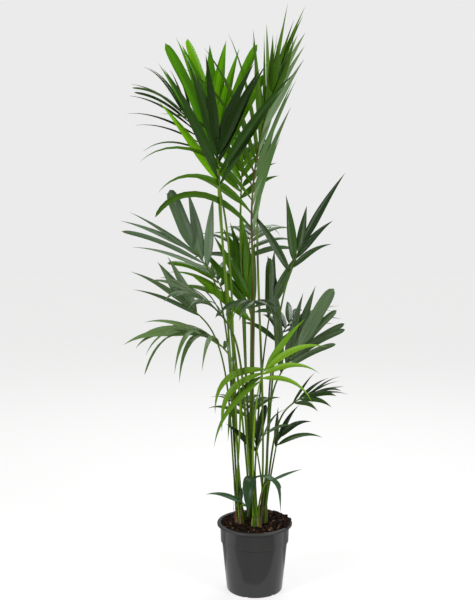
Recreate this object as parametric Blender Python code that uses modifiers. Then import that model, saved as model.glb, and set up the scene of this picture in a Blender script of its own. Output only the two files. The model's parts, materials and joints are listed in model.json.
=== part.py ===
"""A kentia palm in its grey plastic nursery pot.

The origin is the centre of the pot's flat underside, +Z is up, +X is to the right of someone who
faces the plant and +Y leads away from them. Lengths are metres and angles are degrees.
A heading is a compass angle in plan: 0 is right, 90 is away, 180 is left and 270 is towards the viewer.
"""

import math
import random
from dataclasses import dataclass

import bmesh
import bpy
import numpy as np
from mathutils import Matrix, Vector
from mathutils.bvhtree import BVHTree

POT_HEIGHT = 0.220
RIM_RADIUS = 0.120
RIM_DEPTH = 0.006
COLLAR_TOP_RADIUS = 0.1105
COLLAR_FOOT_RADIUS = 0.1085
COLLAR_FOOT_HEIGHT = 0.160
COLLAR_STEP = 0.004
BASE_RADIUS = 0.0895
BASE_CORNER = 0.006
POT_WALL = 0.0025
POT_FLOOR = 0.004
RIM_ROUND = 0.002
RIM_INNER_ROUND = 0.001
RIM_UNDERCUT = 0.0015
STEP_SLOPE = 0.003
DRAIN_SLOTS = 6
DRAIN_FIRST_HEADING = 11
DRAIN_WIDTH = 0.012
DRAIN_HEIGHT = 0.007
DRAIN_DEPTH = 0.016
TURNED_STEPS = 32

SOIL_CROWN = 0.219
SOIL_EDGE = 0.2125
SOIL_CROWN_RADIUS = 0.076
SOIL_SHOULDER = 0.004
SOIL_SHOULDER_RISE = 0.001
# What separates two pieces that rest on one another.
GAP = 0.0003

STEM_FOOT_RADIUS = 0.0140
STEM_TOP_RADIUS = 0.0115
STEM_NECK_HEIGHT = 0.012
STEM_NECK_SHARE = 0.9
RING_SLOTS = 6
SLOT_RING_RADIUS = 0.0078

STALK_FOOT_RADIUS = 0.0027
STALK_LEAST_RADIUS = 0.003
STALK_GROWTH = 0.0055
LONGEST_RIB_COUNTED = 0.26
STALK_TAPER = 0.001
STALK_SWELL = 2.5
HIP_LEAD = 0.006
# How strongly a stalk's course follows its stem, its hip and its rib.
STEM_PULL = 0.75
HIP_PULL = 0.6
RIB_PULL = 0.7
TALL_HIP = 0.6
TALL_STALK_STEPS = 6
SHORT_STALK_STEPS = 4
SPACING_STEPS = 40
BOW_SIZES = (0, 0.004, 0.008, 0.012, 0.018, 0.024, 0.03, 0.04)
BOW_HEADINGS = 12

RIB_STATIONS = 12
RIB_FIRST_STEP = 0.002
RIB_TAPER = 0.55
LONG_RIB = 0.15
LONG_RIB_STEPS = 6
SHORT_RIB_STEPS = 3

LINE_STATIONS = 24
LEAST_THICKNESS = 0.0028
SLENDERNESS = 95
CLEARANCE = 0.0007
# A leaflet bends more towards its tip, by this power of the way along, and less where it stands upright.
SAG_POWER = 0.8
UPRIGHT_SAG_SHARE = 0.35
# The two leaflets of a pair stand a little apart along the rib, and pairs stand closer towards the tip.
PAIR_STAGGER = 0.22
PAIR_POWER = 0.9
FAN_POWER = 0.8
TIP_WIDENING = 0.35
BASE_WIDTH_SHARE = 0.8
# How far chance turns or resizes a leaflet.
OPENING_CHANCE = 5
LIFT_CHANCE = 6
TWIST_CHANCE = 14
LENGTH_CHANCE = 0.09
WIDTH_CHANCE = 0.1
SAG_CHANCE = 0.3
# Degrees by which a leaflet is turned aside to pass a neighbour, in the order they are tried.
TURN_SIZES = (6, 12, 18, 25)
TURN_WAYS = ((0, 1), (1, 0), (0, -1), (-1, 0), (1, 1), (-1, 1), (1, -1), (-1, -1))

LIME = (0.26, 0.47, 0.04)
BRIGHT = (0.08, 0.25, 0.012)
FRESH = (0.055, 0.15, 0.03)
MIDDLE = (0.035, 0.12, 0.02)
DEEP = (0.014, 0.058, 0.005)
DARK = (0.012, 0.045, 0.012)
GREY = (0.07, 0.13, 0.07)
STALK_GREEN = (0.10, 0.20, 0.025)
STEM_BROWN = (0.12, 0.07, 0.035)
POT_GREY = (0.045, 0.046, 0.048)
SOIL_BROWN = (0.020, 0.012, 0.007)

UP = Vector((0.0, 0.0, 1.0))

# Half-width of a leaflet along its length, as shares of its widest.
LEAFLET_OUTLINE = (
    (0, 0.22),
    (0.08, 0.5),
    (0.22, 0.85),
    (0.4, 1),
    (0.6, 0.86),
    (0.8, 0.52),
    (0.93, 0.2),
    (1, 0.02),
)


@dataclass
class Stem:
    """A short trunk: its foot in plan and its top in space."""

    foot: tuple
    top: tuple


@dataclass
class Side:
    """The leaflets along one side of a rib: opening and sag run from the first leaflet to the last."""

    opening: tuple
    length: float
    sag: tuple
    last_share: float = 0.74
    breadth: float = 1.0
    twist: float = 0.0


@dataclass
class Frond:
    """A leaf of the palm: a stalk from its stem to the hip, then a rib that carries leaflets in pairs."""

    name: str
    stem: str
    hip: tuple
    heading: float
    rise: float
    rib: float
    arch: float
    roll: float
    pairs: int
    width: float
    lift: float
    left: Side
    right: Side
    colour: tuple
    seed: int


STEMS = {
    "left": Stem((-0.044, -0.010), (-0.048, -0.010, 0.270)),
    "front": Stem((0.005, -0.046), (0.003, -0.047, 0.255)),
    "right": Stem((0.024, -0.010), (0.029, -0.010, 0.280)),
    "back": Stem((-0.008, 0.035), (-0.009, 0.036, 0.270)),
}

FRONDS = [
    Frond("top_left_front", "left", (-0.108, -0.050, 1.280), 250, 83, 0.15, 10, 0, 5, 0.027, 8,
          Side((38, 22), 0.38, (12, 12), 0.60), Side((30, 6), 0.35, (12, 12), 0.62), DEEP, 1),
    Frond("top_left_back", "back", (-0.115, 0.040, 1.290), 110, 84, 0.25, 14, 0, 7, 0.034, 8,
          Side((34, 8), 0.34, (10, 10), 0.75), Side((46, 2), 0.37, (10, 10), 0.66), BRIGHT, 2),
    Frond("top_centre", "back", (-0.010, 0.000, 1.120), 10, 92, 0.50, 24, -60, 13, 0.024, 15,
          Side((24, 10), 0.33, (10, 5), 0.60, 0.8, 165), Side((55, 0), 0.40, (125, -60), 0.28, 0.9),
          BRIGHT, 3),
    Frond("top_right", "right", (0.012, 0.100, 1.300), 15, 86, 0.35, 10, 20, 8, 0.019, 20,
          Side((18, 3), 0.29, (15, 8), 0.80), Side((16, 2), 0.27, (15, 8), 0.80), FRESH, 4),
    Frond("top_left_outer", "left", (-0.148, 0.060, 1.385), 165, 64, 0.18, 12, -40, 7, 0.010, 10,
          Side((58, 16), 0.23, (45, 35)), Side((50, 12), 0.24, (45, 35)), DEEP, 5),
    Frond("upper_left", "left", (-0.140, 0.030, 1.015), 185, 62, 0.10, 16, -75, 4, 0.038, 5,
          Side((36, 12), 0.275, (24, 14), 0.9, 0.46), Side((50, 2), 0.22, (10, 6), 0.95), GREY, 6),
    Frond("middle_left", "left", (-0.165, -0.020, 0.880), 185, 46, 0.06, 10, -75, 2, 0.035, 5,
          Side((24, -10), 0.245, (26, 12), 0.95, 0.5), Side((48, 8), 0.20, (10, 10), 0.95), GREY, 7),
    Frond("weeping_left", "left", (-0.090, -0.100, 0.790), 195, 50, 0.12, 45, 0, 6, 0.025, 5,
          Side((72, 36), 0.35, (110, 80), 0.74, 1.0, 25), Side((50, 10), 0.23, (60, 55), 0.9, 0.9, -55),
          FRESH, 8),
    Frond("weeping_front", "front", (-0.070, -0.070, 0.840), 205, 62, 0.20, 40, -20, 6, 0.022, 10,
          Side((60, 20), 0.17, (60, 60)), Side((60, 20), 0.17, (60, 60)), GREY, 9),
    Frond("arching_front", "front", (-0.004, -0.072, 0.900), 270, 62, 0.09, 60, 0, 4, 0.026, 5,
          Side((80, 30), 0.12, (120, 90)), Side((80, 30), 0.14, (120, 90)), GREY, 27),
    Frond("inner_centre", "back", (-0.012, 0.050, 0.850), 95, 88, 0.13, 10, 0, 4, 0.036, 5,
          Side((56, 0), 0.27, (6, 6), 0.9), Side((4, -4), 0.25, (6, 6), 0.9), MIDDLE, 10),
    Frond("upper_right", "right", (0.104, -0.020, 1.010), 350, 72, 0.10, 6, 75, 3, 0.030, 5,
          Side((58, 8), 0.25, (14, 6), 0.3), Side((46, 0), 0.145, (60, 6), 2.0, 0.8), DARK, 11),
    Frond("inner_right", "back", (0.045, 0.100, 0.850), 30, 79, 0.08, 6, 60, 2, 0.036, 10,
          Side((14, 0), 0.21, (10, 10)), Side((4, -4), 0.21, (10, 10)), DARK, 12),
    Frond("middle_right", "right", (0.078, 0.020, 0.690), 355, 62, 0.11, 20, 70, 4, 0.038, 5,
          Side((42, 10), 0.235, (12, 8), 0.95), Side((38, 0), 0.205, (24, 14), 0.9, 0.55), GREY, 13),
    Frond("weeping_right", "right", (0.110, -0.030, 0.605), 345, 42, 0.10, 25, 20, 5, 0.025, 5,
          Side((56, 8), 0.14, (30, 30)), Side((60, 14), 0.15, (30, 40)), DARK, 14),
    Frond("young_front", "front", (0.014, -0.080, 0.690), 355, 78, 0.05, 20, 65, 4, 0.021, 10,
          Side((160, 120), 0.28, (80, 110), 0.8), Side((86, 0), 0.205, (105, 15), 1.05), LIME, 15),
    Frond("low_centre", "right", (0.010, 0.030, 0.430), 150, 80, 0.06, 10, -30, 2, 0.026, 5,
          Side((54, 20), 0.19, (10, 10)), Side((45, 8), 0.15, (10, 10)), DARK, 16),
    Frond("low_right", "right", (0.066, 0.020, 0.445), 30, 78, 0.05, 10, 30, 2, 0.018, 5,
          Side((12, 5), 0.14, (25, 25)), Side((58, 30), 0.17, (75, 50)), DARK, 17),
    Frond("low_front", "front", (0.020, -0.060, 0.505), 0, 60, 0.03, 20, 60, 1, 0.010, 5,
          Side((30, 5), 0.12, (60, 60)), Side((30, 5), 0.12, (60, 60)), GREY, 18),
    Frond("foot_front", "front", (-0.004, -0.085, 0.391), 280, 34, 0.012, 20, 0, 1, 0.044, 5,
          Side((38, 38), 0.19, (190, 190), 0.74, 0.9, 20), Side((24, 24), 0.215, (250, 250), 0.74, 0.95, -30),
          DEEP, 19),
    Frond("foot_left", "left", (-0.034, -0.045, 0.292), 190, 50, 0.02, 20, -60, 1, 0.022, 5,
          Side((8, 8), 0.125, (40, 40)), Side((60, 60), 0.06, (50, 50), 0.74, 0.7), DEEP, 20),
    Frond("foot_right", "front", (0.044, -0.025, 0.358), 350, 34, 0.02, 20, 50, 1, 0.012, 5,
          Side((4, 4), 0.11, (10, 10)), Side((40, 40), 0.05, (60, 60)), DEEP, 21),
    Frond("top_back", "back", (-0.045, 0.110, 1.220), 85, 74, 0.22, 30, 0, 6, 0.026, 5,
          Side((50, 12), 0.20, (30, 20)), Side((50, 12), 0.15, (30, 20)), MIDDLE, 26),
    Frond("back_top", "back", (-0.025, 0.160, 1.035), 80, 60, 0.18, 45, 0, 6, 0.022, 5,
          Side((70, 20), 0.20, (60, 60)), Side((70, 20), 0.20, (60, 60)), GREY, 22),
    Frond("back_left", "left", (-0.095, 0.130, 0.920), 120, 60, 0.14, 40, 0, 5, 0.024, 5,
          Side((65, 20), 0.20, (40, 40)), Side((65, 20), 0.20, (40, 40)), MIDDLE, 23),
    Frond("back_right", "right", (0.075, 0.130, 0.770), 50, 58, 0.14, 40, 0, 5, 0.024, 5,
          Side((65, 20), 0.19, (40, 40)), Side((65, 20), 0.19, (40, 40)), DARK, 24),
    Frond("back_low", "back", (-0.015, 0.120, 0.525), 100, 50, 0.10, 40, 0, 4, 0.024, 5,
          Side((65, 20), 0.16, (50, 50)), Side((65, 20), 0.16, (50, 50)), DARK, 25),
]


def clear_scene():
    for obj in list(bpy.data.objects):
        bpy.data.objects.remove(obj, do_unlink=True)


def new_collection(name, parent):
    collection = bpy.data.collections.new(name)
    parent.children.link(collection)
    return collection


def paint(obj, colour, roughness):
    """Gives an object a Principled material of its own."""
    material = bpy.data.materials.new(obj.name)
    material.use_nodes = True
    shader = material.node_tree.nodes["Principled BSDF"]
    shader.inputs["Base Color"].default_value = (*colour, 1.0)
    shader.inputs["Roughness"].default_value = roughness
    material.diffuse_color = (*colour, 1.0)
    obj.data.materials.clear()
    obj.data.materials.append(material)


def shade_round(mesh):
    mesh.shade_smooth()
    mesh.set_sharp_from_angle(angle=math.radians(35))


def evaluated_mesh(obj):
    """The mesh of an object after its modifiers, or of a curve after its bevel, with its caps welded."""
    bpy.context.view_layer.update()
    graph = bpy.context.evaluated_depsgraph_get()
    mesh = bpy.data.meshes.new_from_object(obj.evaluated_get(graph))
    cleaned = bmesh.new()
    cleaned.from_mesh(mesh)
    bmesh.ops.remove_doubles(cleaned, verts=cleaned.verts, dist=1e-6)
    cleaned.to_mesh(mesh)
    cleaned.free()
    return mesh


def tube(name, points, radii, resolution, collection):
    """A round rod along the points, as a mesh, with a radius for each of them."""
    curve = bpy.data.curves.new(name, "CURVE")
    curve.dimensions = "3D"
    curve.bevel_depth = 1.0
    curve.bevel_resolution = resolution
    curve.use_fill_caps = True
    spline = curve.splines.new("POLY")
    spline.points.add(len(points) - 1)
    for place, point, radius in zip(spline.points, points, radii):
        place.co = (*point, 1.0)
        place.radius = radius
    guide = bpy.data.objects.new(name + "_guide", curve)
    collection.objects.link(guide)
    obj = bpy.data.objects.new(name, evaluated_mesh(guide))
    obj.matrix_world = guide.matrix_world
    collection.objects.link(obj)
    bpy.data.objects.remove(guide, do_unlink=True)
    shade_round(obj.data)
    return obj


def turned(name, profile, collection):
    """A shape turned about Z from a profile that runs down its outer side."""
    mesh = bpy.data.meshes.new(name)
    edges = [(i, i + 1) for i in range(len(profile) - 1)]
    mesh.from_pydata([(radius, 0, height) for radius, height in profile], edges, [])
    obj = bpy.data.objects.new(name, mesh)
    collection.objects.link(obj)
    screw = obj.modifiers.new("turn", "SCREW")
    screw.steps = TURNED_STEPS
    screw.render_steps = TURNED_STEPS
    screw.use_merge_vertices = True
    screw.merge_threshold = 0.0001
    finished = evaluated_mesh(obj)
    obj.modifiers.clear()
    obj.data = finished
    shade_round(finished)
    return obj


def wall_radius(height):
    """Outer radius of the pot's body, below the collar."""
    share = (height - BASE_CORNER) / (COLLAR_FOOT_HEIGHT - BASE_CORNER)
    return BASE_RADIUS + share * (COLLAR_FOOT_RADIUS - COLLAR_STEP - BASE_RADIUS)


def make_pot(parts, cutters):
    """The pot: a turned shell with a flat rim, a collar above a small step, and slots round its foot."""
    corner = [
        (
            BASE_RADIUS - BASE_CORNER * (1 - math.cos(math.radians(angle))),
            BASE_CORNER * (1 - math.sin(math.radians(angle))),
        )
        for angle in (0, 30, 60, 90)
    ]
    inner_top = COLLAR_TOP_RADIUS - POT_WALL
    inner_foot = COLLAR_FOOT_RADIUS - COLLAR_STEP - POT_WALL
    profile = [
        (0, POT_FLOOR),
        (wall_radius(POT_FLOOR) - POT_WALL - BASE_CORNER / 2, POT_FLOOR),
        (wall_radius(POT_FLOOR) - POT_WALL, POT_FLOOR + BASE_CORNER / 2),
        (inner_foot, COLLAR_FOOT_HEIGHT),
        (inner_top, COLLAR_FOOT_HEIGHT + COLLAR_STEP * 2),
        (inner_top, POT_HEIGHT - RIM_INNER_ROUND),
        (inner_top + RIM_INNER_ROUND, POT_HEIGHT),
        (RIM_RADIUS - RIM_ROUND, POT_HEIGHT),
        (RIM_RADIUS, POT_HEIGHT - RIM_ROUND),
        (RIM_RADIUS, POT_HEIGHT - RIM_DEPTH),
        (RIM_RADIUS - RIM_UNDERCUT, POT_HEIGHT - RIM_DEPTH - RIM_UNDERCUT / 2),
        (COLLAR_TOP_RADIUS, POT_HEIGHT - RIM_DEPTH - RIM_UNDERCUT),
        (COLLAR_FOOT_RADIUS, COLLAR_FOOT_HEIGHT + STEP_SLOPE),
        (COLLAR_FOOT_RADIUS - COLLAR_STEP / 4, COLLAR_FOOT_HEIGHT),
        (COLLAR_FOOT_RADIUS - COLLAR_STEP, COLLAR_FOOT_HEIGHT - STEP_SLOPE),
        *corner,
        (0, 0),
    ]
    pot = turned("pot", profile, parts)
    for slot in range(DRAIN_SLOTS):
        heading = math.radians(DRAIN_FIRST_HEADING + 360 * slot / DRAIN_SLOTS)
        bpy.ops.mesh.primitive_cube_add(size=1)
        cutter = bpy.context.object
        cutter.name = f"drain_cutter_{slot + 1}"
        cutter.scale = (DRAIN_DEPTH, DRAIN_WIDTH, 2 * DRAIN_HEIGHT)
        cutter.rotation_euler = (0, 0, heading)
        cutter.location = (BASE_RADIUS * math.cos(heading), BASE_RADIUS * math.sin(heading), 0)
        for collection in list(cutter.users_collection):
            collection.objects.unlink(cutter)
        cutters.objects.link(cutter)
        cutter.hide_render = True
        cutter.display_type = "WIRE"
    cut = pot.modifiers.new("drain_slots", "BOOLEAN")
    cut.operation = "DIFFERENCE"
    cut.operand_type = "COLLECTION"
    cut.collection = cutters
    paint(pot, POT_GREY, 0.45)
    return pot


def make_soil(parts):
    """The root ball: it fills the pot, and its top is a low mound."""
    top_radius = COLLAR_TOP_RADIUS - POT_WALL - GAP
    neck_radius = COLLAR_FOOT_RADIUS - COLLAR_STEP - POT_WALL - GAP
    floor = POT_FLOOR + GAP
    profile = [
        (0, SOIL_CROWN),
        (SOIL_CROWN_RADIUS, SOIL_CROWN),
        (top_radius - SOIL_SHOULDER, SOIL_EDGE + SOIL_SHOULDER_RISE),
        (top_radius, SOIL_EDGE),
        (top_radius, COLLAR_FOOT_HEIGHT + COLLAR_STEP * 2),
        (neck_radius, COLLAR_FOOT_HEIGHT),
        (wall_radius(POT_FLOOR) - POT_WALL - GAP, floor + BASE_CORNER / 2),
        (wall_radius(POT_FLOOR) - POT_WALL - BASE_CORNER / 2 - GAP, floor),
        (0, floor),
    ]
    soil = turned("soil", profile, parts)
    paint(soil, SOIL_BROWN, 0.95)
    return soil


def stem_axis(stem):
    foot = Vector((*stem.foot, SOIL_CROWN + GAP))
    top = Vector(stem.top)
    neck = foot + UP * STEM_NECK_HEIGHT
    return foot, neck, top, (top - neck).normalized()


def make_stem(name, stem, parts):
    """A short trunk with a flared foot, cut flat where it stands in the soil."""
    foot, neck, top, _ = stem_axis(stem)
    middle = neck.lerp(top, 0.5)
    radii = (STEM_FOOT_RADIUS, STEM_FOOT_RADIUS * STEM_NECK_SHARE, STEM_TOP_RADIUS, STEM_TOP_RADIUS)
    obj = tube("stem_" + name, (foot, neck, middle, top), radii, 4, parts)
    paint(obj, STEM_BROWN, 0.85)
    return obj


def slots(stem):
    """Where stalks can stand on a stem's top: one place in the middle and a ring of them round it."""
    _, _, top, axis = stem_axis(stem)
    across = axis.cross(Vector((0, 1, 0))).normalized()
    along = axis.cross(across).normalized()
    middle = top + axis * GAP
    places = [middle]
    for i in range(RING_SLOTS):
        angle = 2 * math.pi * i / RING_SLOTS
        places.append(middle + (across * math.cos(angle) + along * math.sin(angle)) * SLOT_RING_RADIUS)
    return places


def compass(heading, rise):
    heading = math.radians(heading)
    rise = math.radians(rise)
    level = math.cos(rise)
    return Vector((math.cos(heading) * level, math.sin(heading) * level, math.sin(rise)))


def turned_about(vector, axis, angle):
    return Matrix.Rotation(angle, 3, axis) @ vector


def stalk_radius(frond):
    return STALK_LEAST_RADIUS + STALK_GROWTH * min(frond.rib, LONGEST_RIB_COUNTED)


def stalk_line(frond, foot, axis, bow, steps):
    """Points and radii of a stalk that leaves its stem along the axis and ends along the rib."""
    end = compass(frond.heading, frond.rise)
    start = foot + axis * HIP_LEAD
    tip = Vector(frond.hip) - end * HIP_LEAD
    span = (tip - start).length
    out = (axis * STEM_PULL + (tip - start).normalized() * HIP_PULL).normalized() * span
    into = end * span * RIB_PULL
    points = [foot]
    for i in range(steps + 1):
        t = i / steps
        point = start * (2 * t**3 - 3 * t**2 + 1) + out * (t**3 - 2 * t**2 + t)
        point += tip * (3 * t**2 - 2 * t**3) + into * (t**3 - t**2)
        points.append(point + bow * math.sin(math.pi * t))
    points.append(Vector(frond.hip))
    thick = stalk_radius(frond)
    radii = [STALK_FOOT_RADIUS] * 2
    for i in range(1, len(points) - 2):
        t = i / (len(points) - 3)
        swell = min(1.0, STALK_SWELL * t)
        radii.append(STALK_FOOT_RADIUS + (thick - STALK_FOOT_RADIUS) * swell - STALK_TAPER * t)
    radii.append(radii[-1])
    return points, radii


def spread_apart(line, others):
    """Whether a stalk keeps clear of every stalk placed before it."""
    points, radii = line
    for starts, edges, widths in others:
        gaps = points[:, None, :] - starts[None, :, :]
        share = np.clip((gaps * edges).sum(2) / (edges * edges).sum(1), 0, 1)
        distance = np.linalg.norm(gaps - share[:, :, None] * edges, axis=2)
        if (distance < radii[:, None] + widths[None, :] + CLEARANCE).any():
            return False
    return True


def clear_stalk(frond, axis, free, placed):
    """The free place, and the least sideways bow, with which a stalk passes all the others."""
    away = Vector(frond.hip) - free[0]
    nearest = sorted(free, key=lambda place: -(place - free[0]).dot(away))
    for size in BOW_SIZES:
        for turn in range(BOW_HEADINGS if size else 1):
            bow = compass(360 * turn / BOW_HEADINGS, 0) * size
            for place in nearest:
                points, radii = stalk_line(frond, place, axis, bow, SPACING_STEPS)
                points = np.array(points)
                radii = np.array(radii)
                if spread_apart((points, radii), placed):
                    placed.append((points[:-1], np.diff(points, axis=0), radii[:-1]))
                    free.remove(place)
                    return place, bow
    raise ValueError("no clear way for the stalk of " + frond.name)


def rib_line(frond):
    """Point, direction and upper-face normal at stations along a rib."""
    step = frond.rib / RIB_STATIONS
    point = Vector(frond.hip) + compass(frond.heading, frond.rise) * GAP
    line = []
    for i in range(RIB_STATIONS + 1):
        rise = frond.rise - frond.arch * i / RIB_STATIONS
        along = compass(frond.heading, rise)
        normal = turned_about(compass(frond.heading, rise + 90), along, math.radians(frond.roll))
        line.append((point.copy(), along, normal))
        point += along * step
    return line


def place_on(line, share):
    """Point, direction and normal at a share of the way along a line."""
    place = share * (len(line) - 1)
    i = min(int(place), len(line) - 2)
    a, b = line[i], line[i + 1]
    return (
        a[0].lerp(b[0], place - i),
        a[1].lerp(b[1], place - i).normalized(),
        a[2].lerp(b[2], place - i).normalized(),
    )


def leaflet_line(start, along, normal, length, sag):
    """Stations along a leaflet that bends down under its own weight, more towards its tip."""
    line = [(start.copy(), along, normal)]
    point = start.copy()
    for i in range(LINE_STATIONS):
        axis = along.cross(-UP)
        level = axis.length
        if level > 1e-6:
            share = (i + 0.5) / LINE_STATIONS
            angle = sag * share**SAG_POWER * (SAG_POWER + 1) / LINE_STATIONS
            if along.z < 0:
                angle = min(angle, math.asin(min(1.0, level)))
            angle *= min(1.0, UPRIGHT_SAG_SHARE + level)
            along = turned_about(along, axis, angle)
            normal = turned_about(normal, axis, angle)
        point = point + along * (length / LINE_STATIONS)
        line.append((point.copy(), along, normal))
    return line


def outline_share(share):
    for (a, low), (b, high) in zip(LEAFLET_OUTLINE, LEAFLET_OUTLINE[1:]):
        if share <= b:
            return low + (high - low) * (share - a) / (b - a)
    return LEAFLET_OUTLINE[-1][1]


def blade(line, width, thickness, stations, margin=0.0):
    """Points and faces of a leaflet: flat below, ridged above, and pointed at its tip."""
    points = []
    for share in stations[:-1]:
        point, along, normal = place_on(line, share)
        across = along.cross(normal)
        half = width / 2 * outline_share(share) + margin
        ridge = thickness * min(1.0, 0.45 + 2 * share, 0.3 + 1.6 * (1 - share))
        points.append(point - across * half - normal * margin)
        points.append(point + across * half - normal * margin)
        points.append(point + normal * (ridge + margin))
    tip, along, _ = place_on(line, 1.0)
    points.append(tip + along * margin)
    last = len(stations) - 2
    faces = [(0, 1, 2)]
    for i in range(last):
        for a, b in ((0, 1), (1, 2), (2, 0)):
            faces.append((3 * i + a, 3 * i + 3 + a, 3 * i + 3 + b, 3 * i + b))
    end = len(points) - 1
    for a, b in ((0, 1), (1, 2), (2, 0)):
        faces.append((3 * last + a, end, 3 * last + b))
    return points, faces


def stations_for(sag):
    """Shares of a leaflet's length with a section: more of them on one that bends further."""
    if sag < 20:
        return (0, 0.14, 0.5, 1)
    if sag < 50:
        return (0, 0.12, 0.4, 0.72, 1)
    return (0, 0.12, 0.32, 0.54, 0.78, 1)


def spread(chance, size):
    return chance.uniform(-size, size)


def leaflet_plan(frond):
    """Each leaflet of a frond before it is fitted in: where it starts, how it points and its sizes."""
    chance = random.Random(frond.seed)
    line = rib_line(frond)
    plan = []
    for pair in range(frond.pairs):
        for hand, side in ((-1, frond.left), (1, frond.right)):
            share = min(1.0, ((pair + 0.5 + PAIR_STAGGER * hand) / frond.pairs) ** PAIR_POWER)
            fan = share**FAN_POWER
            first, last = side.opening
            opening = first + (last - first) * fan + spread(chance, OPENING_CHANCE)
            lift = frond.lift + spread(chance, LIFT_CHANCE)
            twist = side.twist + spread(chance, TWIST_CHANCE)
            crest = math.sin(math.pi * min(1, 0.35 + 0.65 * share))
            taper = side.last_share + (1 - side.last_share) * crest
            length = side.length * taper * (1 + spread(chance, LENGTH_CHANCE))
            width = frond.width * side.breadth * (BASE_WIDTH_SHARE + TIP_WIDENING * share)
            width *= 1 + spread(chance, WIDTH_CHANCE)
            sag = side.sag[0] + (side.sag[1] - side.sag[0]) * share
            sag *= 1 + spread(chance, SAG_CHANCE)
            plan.append((place_on(line, share), hand, opening, lift, twist, length, width, sag))
    return plan


def pointed(leaflet, more_opening, more_lift):
    """The line of a leaflet, turned by some degrees from its plan."""
    (point, along, normal), hand, opening, lift, twist, length, _, sag = leaflet
    opening = math.radians(opening + more_opening)
    lift = math.radians(lift + more_lift)
    across = along.cross(normal) * hand
    aim = along * math.cos(opening)
    aim += (across * math.cos(lift) + normal * math.sin(lift)) * math.sin(opening)
    aim.normalize()
    face = (normal - aim * normal.dot(aim)).normalized()
    face = turned_about(face, aim, math.radians(twist))
    return leaflet_line(point, aim, face, length, math.radians(sag))


def ways_to_turn():
    yield 0, 0
    for size in TURN_SIZES:
        for opening, lift in TURN_WAYS:
            yield size * opening, 2 * size * lift


def tree_of(points, faces):
    return BVHTree.FromPolygons(points, faces)


def fitted_leaflets(frond, obstacles):
    """The frond's leaflets that can keep clear of every other piece, with each one's line and sizes."""
    kept = []
    own = []
    for leaflet in leaflet_plan(frond):
        length, width, sag = leaflet[5:]
        thickness = max(length / SLENDERNESS, LEAST_THICKNESS)
        stations = stations_for(sag)
        for more_opening, more_lift in ways_to_turn():
            line = pointed(leaflet, more_opening, more_lift)
            whole = tree_of(*blade(line, width, thickness, stations, CLEARANCE))
            if any(whole.overlap(other) for other in obstacles):
                continue
            outer = tree_of(*blade(line, width, thickness, stations[1:], CLEARANCE))
            if any(outer.overlap(other) for other in own):
                continue
            kept.append((line, width, thickness, stations))
            own.append(tree_of(*blade(line, width, thickness, stations[1:])))
            break
    return kept


def mesh_object(name, points, faces, collection):
    mesh = bpy.data.meshes.new(name)
    mesh.from_pydata(points, [], faces)
    built = bmesh.new()
    built.from_mesh(mesh)
    bmesh.ops.recalc_face_normals(built, faces=built.faces)
    built.to_mesh(mesh)
    built.free()
    obj = bpy.data.objects.new(name, mesh)
    collection.objects.link(obj)
    return obj


def make_rib(frond, parts):
    line = rib_line(frond)
    thick = stalk_radius(frond) - STALK_TAPER
    count = LONG_RIB_STEPS if frond.rib > LONG_RIB else SHORT_RIB_STEPS
    shares = [i / count for i in range(count + 1)]
    points = [place_on(line, share)[0] for share in shares]
    points.insert(1, points[0] + line[0][1] * RIB_FIRST_STEP)
    radii = [thick * (1 - RIB_TAPER * share) for share in shares]
    radii.insert(1, radii[0])
    return tube("frond_" + frond.name, points, radii, 0, parts)


def keep_largest_shell(mesh):
    """Fills any hollow that the join sealed, and drops loose scraps, by keeping the outer surface only."""
    built = bmesh.new()
    built.from_mesh(mesh)
    unseen = set(built.verts)
    shells = []
    while unseen:
        shell = {unseen.pop()}
        edge_of_shell = list(shell)
        while edge_of_shell:
            vertex = edge_of_shell.pop()
            for edge in vertex.link_edges:
                other = edge.other_vert(vertex)
                if other in unseen:
                    unseen.remove(other)
                    shell.add(other)
                    edge_of_shell.append(other)
        shells.append(shell)
    largest = max(shells, key=len)
    scraps = [vertex for shell in shells if shell is not largest for vertex in shell]
    bmesh.ops.delete(built, geom=scraps, context="VERTS")
    built.to_mesh(mesh)
    built.free()


def fuse(rib, leaflets):
    """Joins the leaflets to the rib, so that the frond is one closed solid."""
    pieces = new_collection(rib.name + "_leaflets", bpy.context.scene.collection)
    for i, (line, width, thickness, stations) in enumerate(leaflets):
        points, faces = blade(line, width, thickness, stations)
        mesh_object(f"{rib.name}_leaflet_{i + 1}", points, faces, pieces)
    join = rib.modifiers.new("join", "BOOLEAN")
    join.operation = "UNION"
    join.operand_type = "COLLECTION"
    join.collection = pieces
    joined = evaluated_mesh(rib)
    keep_largest_shell(joined)
    rib.modifiers.clear()
    rib.data = joined
    for piece in list(pieces.objects):
        bpy.data.objects.remove(piece, do_unlink=True)
    bpy.data.collections.remove(pieces)
    shade_round(joined)


def tree_of_object(obj):
    mesh = obj.data
    points = [obj.matrix_world @ vertex.co for vertex in mesh.vertices]
    return tree_of(points, [tuple(face.vertices) for face in mesh.polygons])


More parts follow.
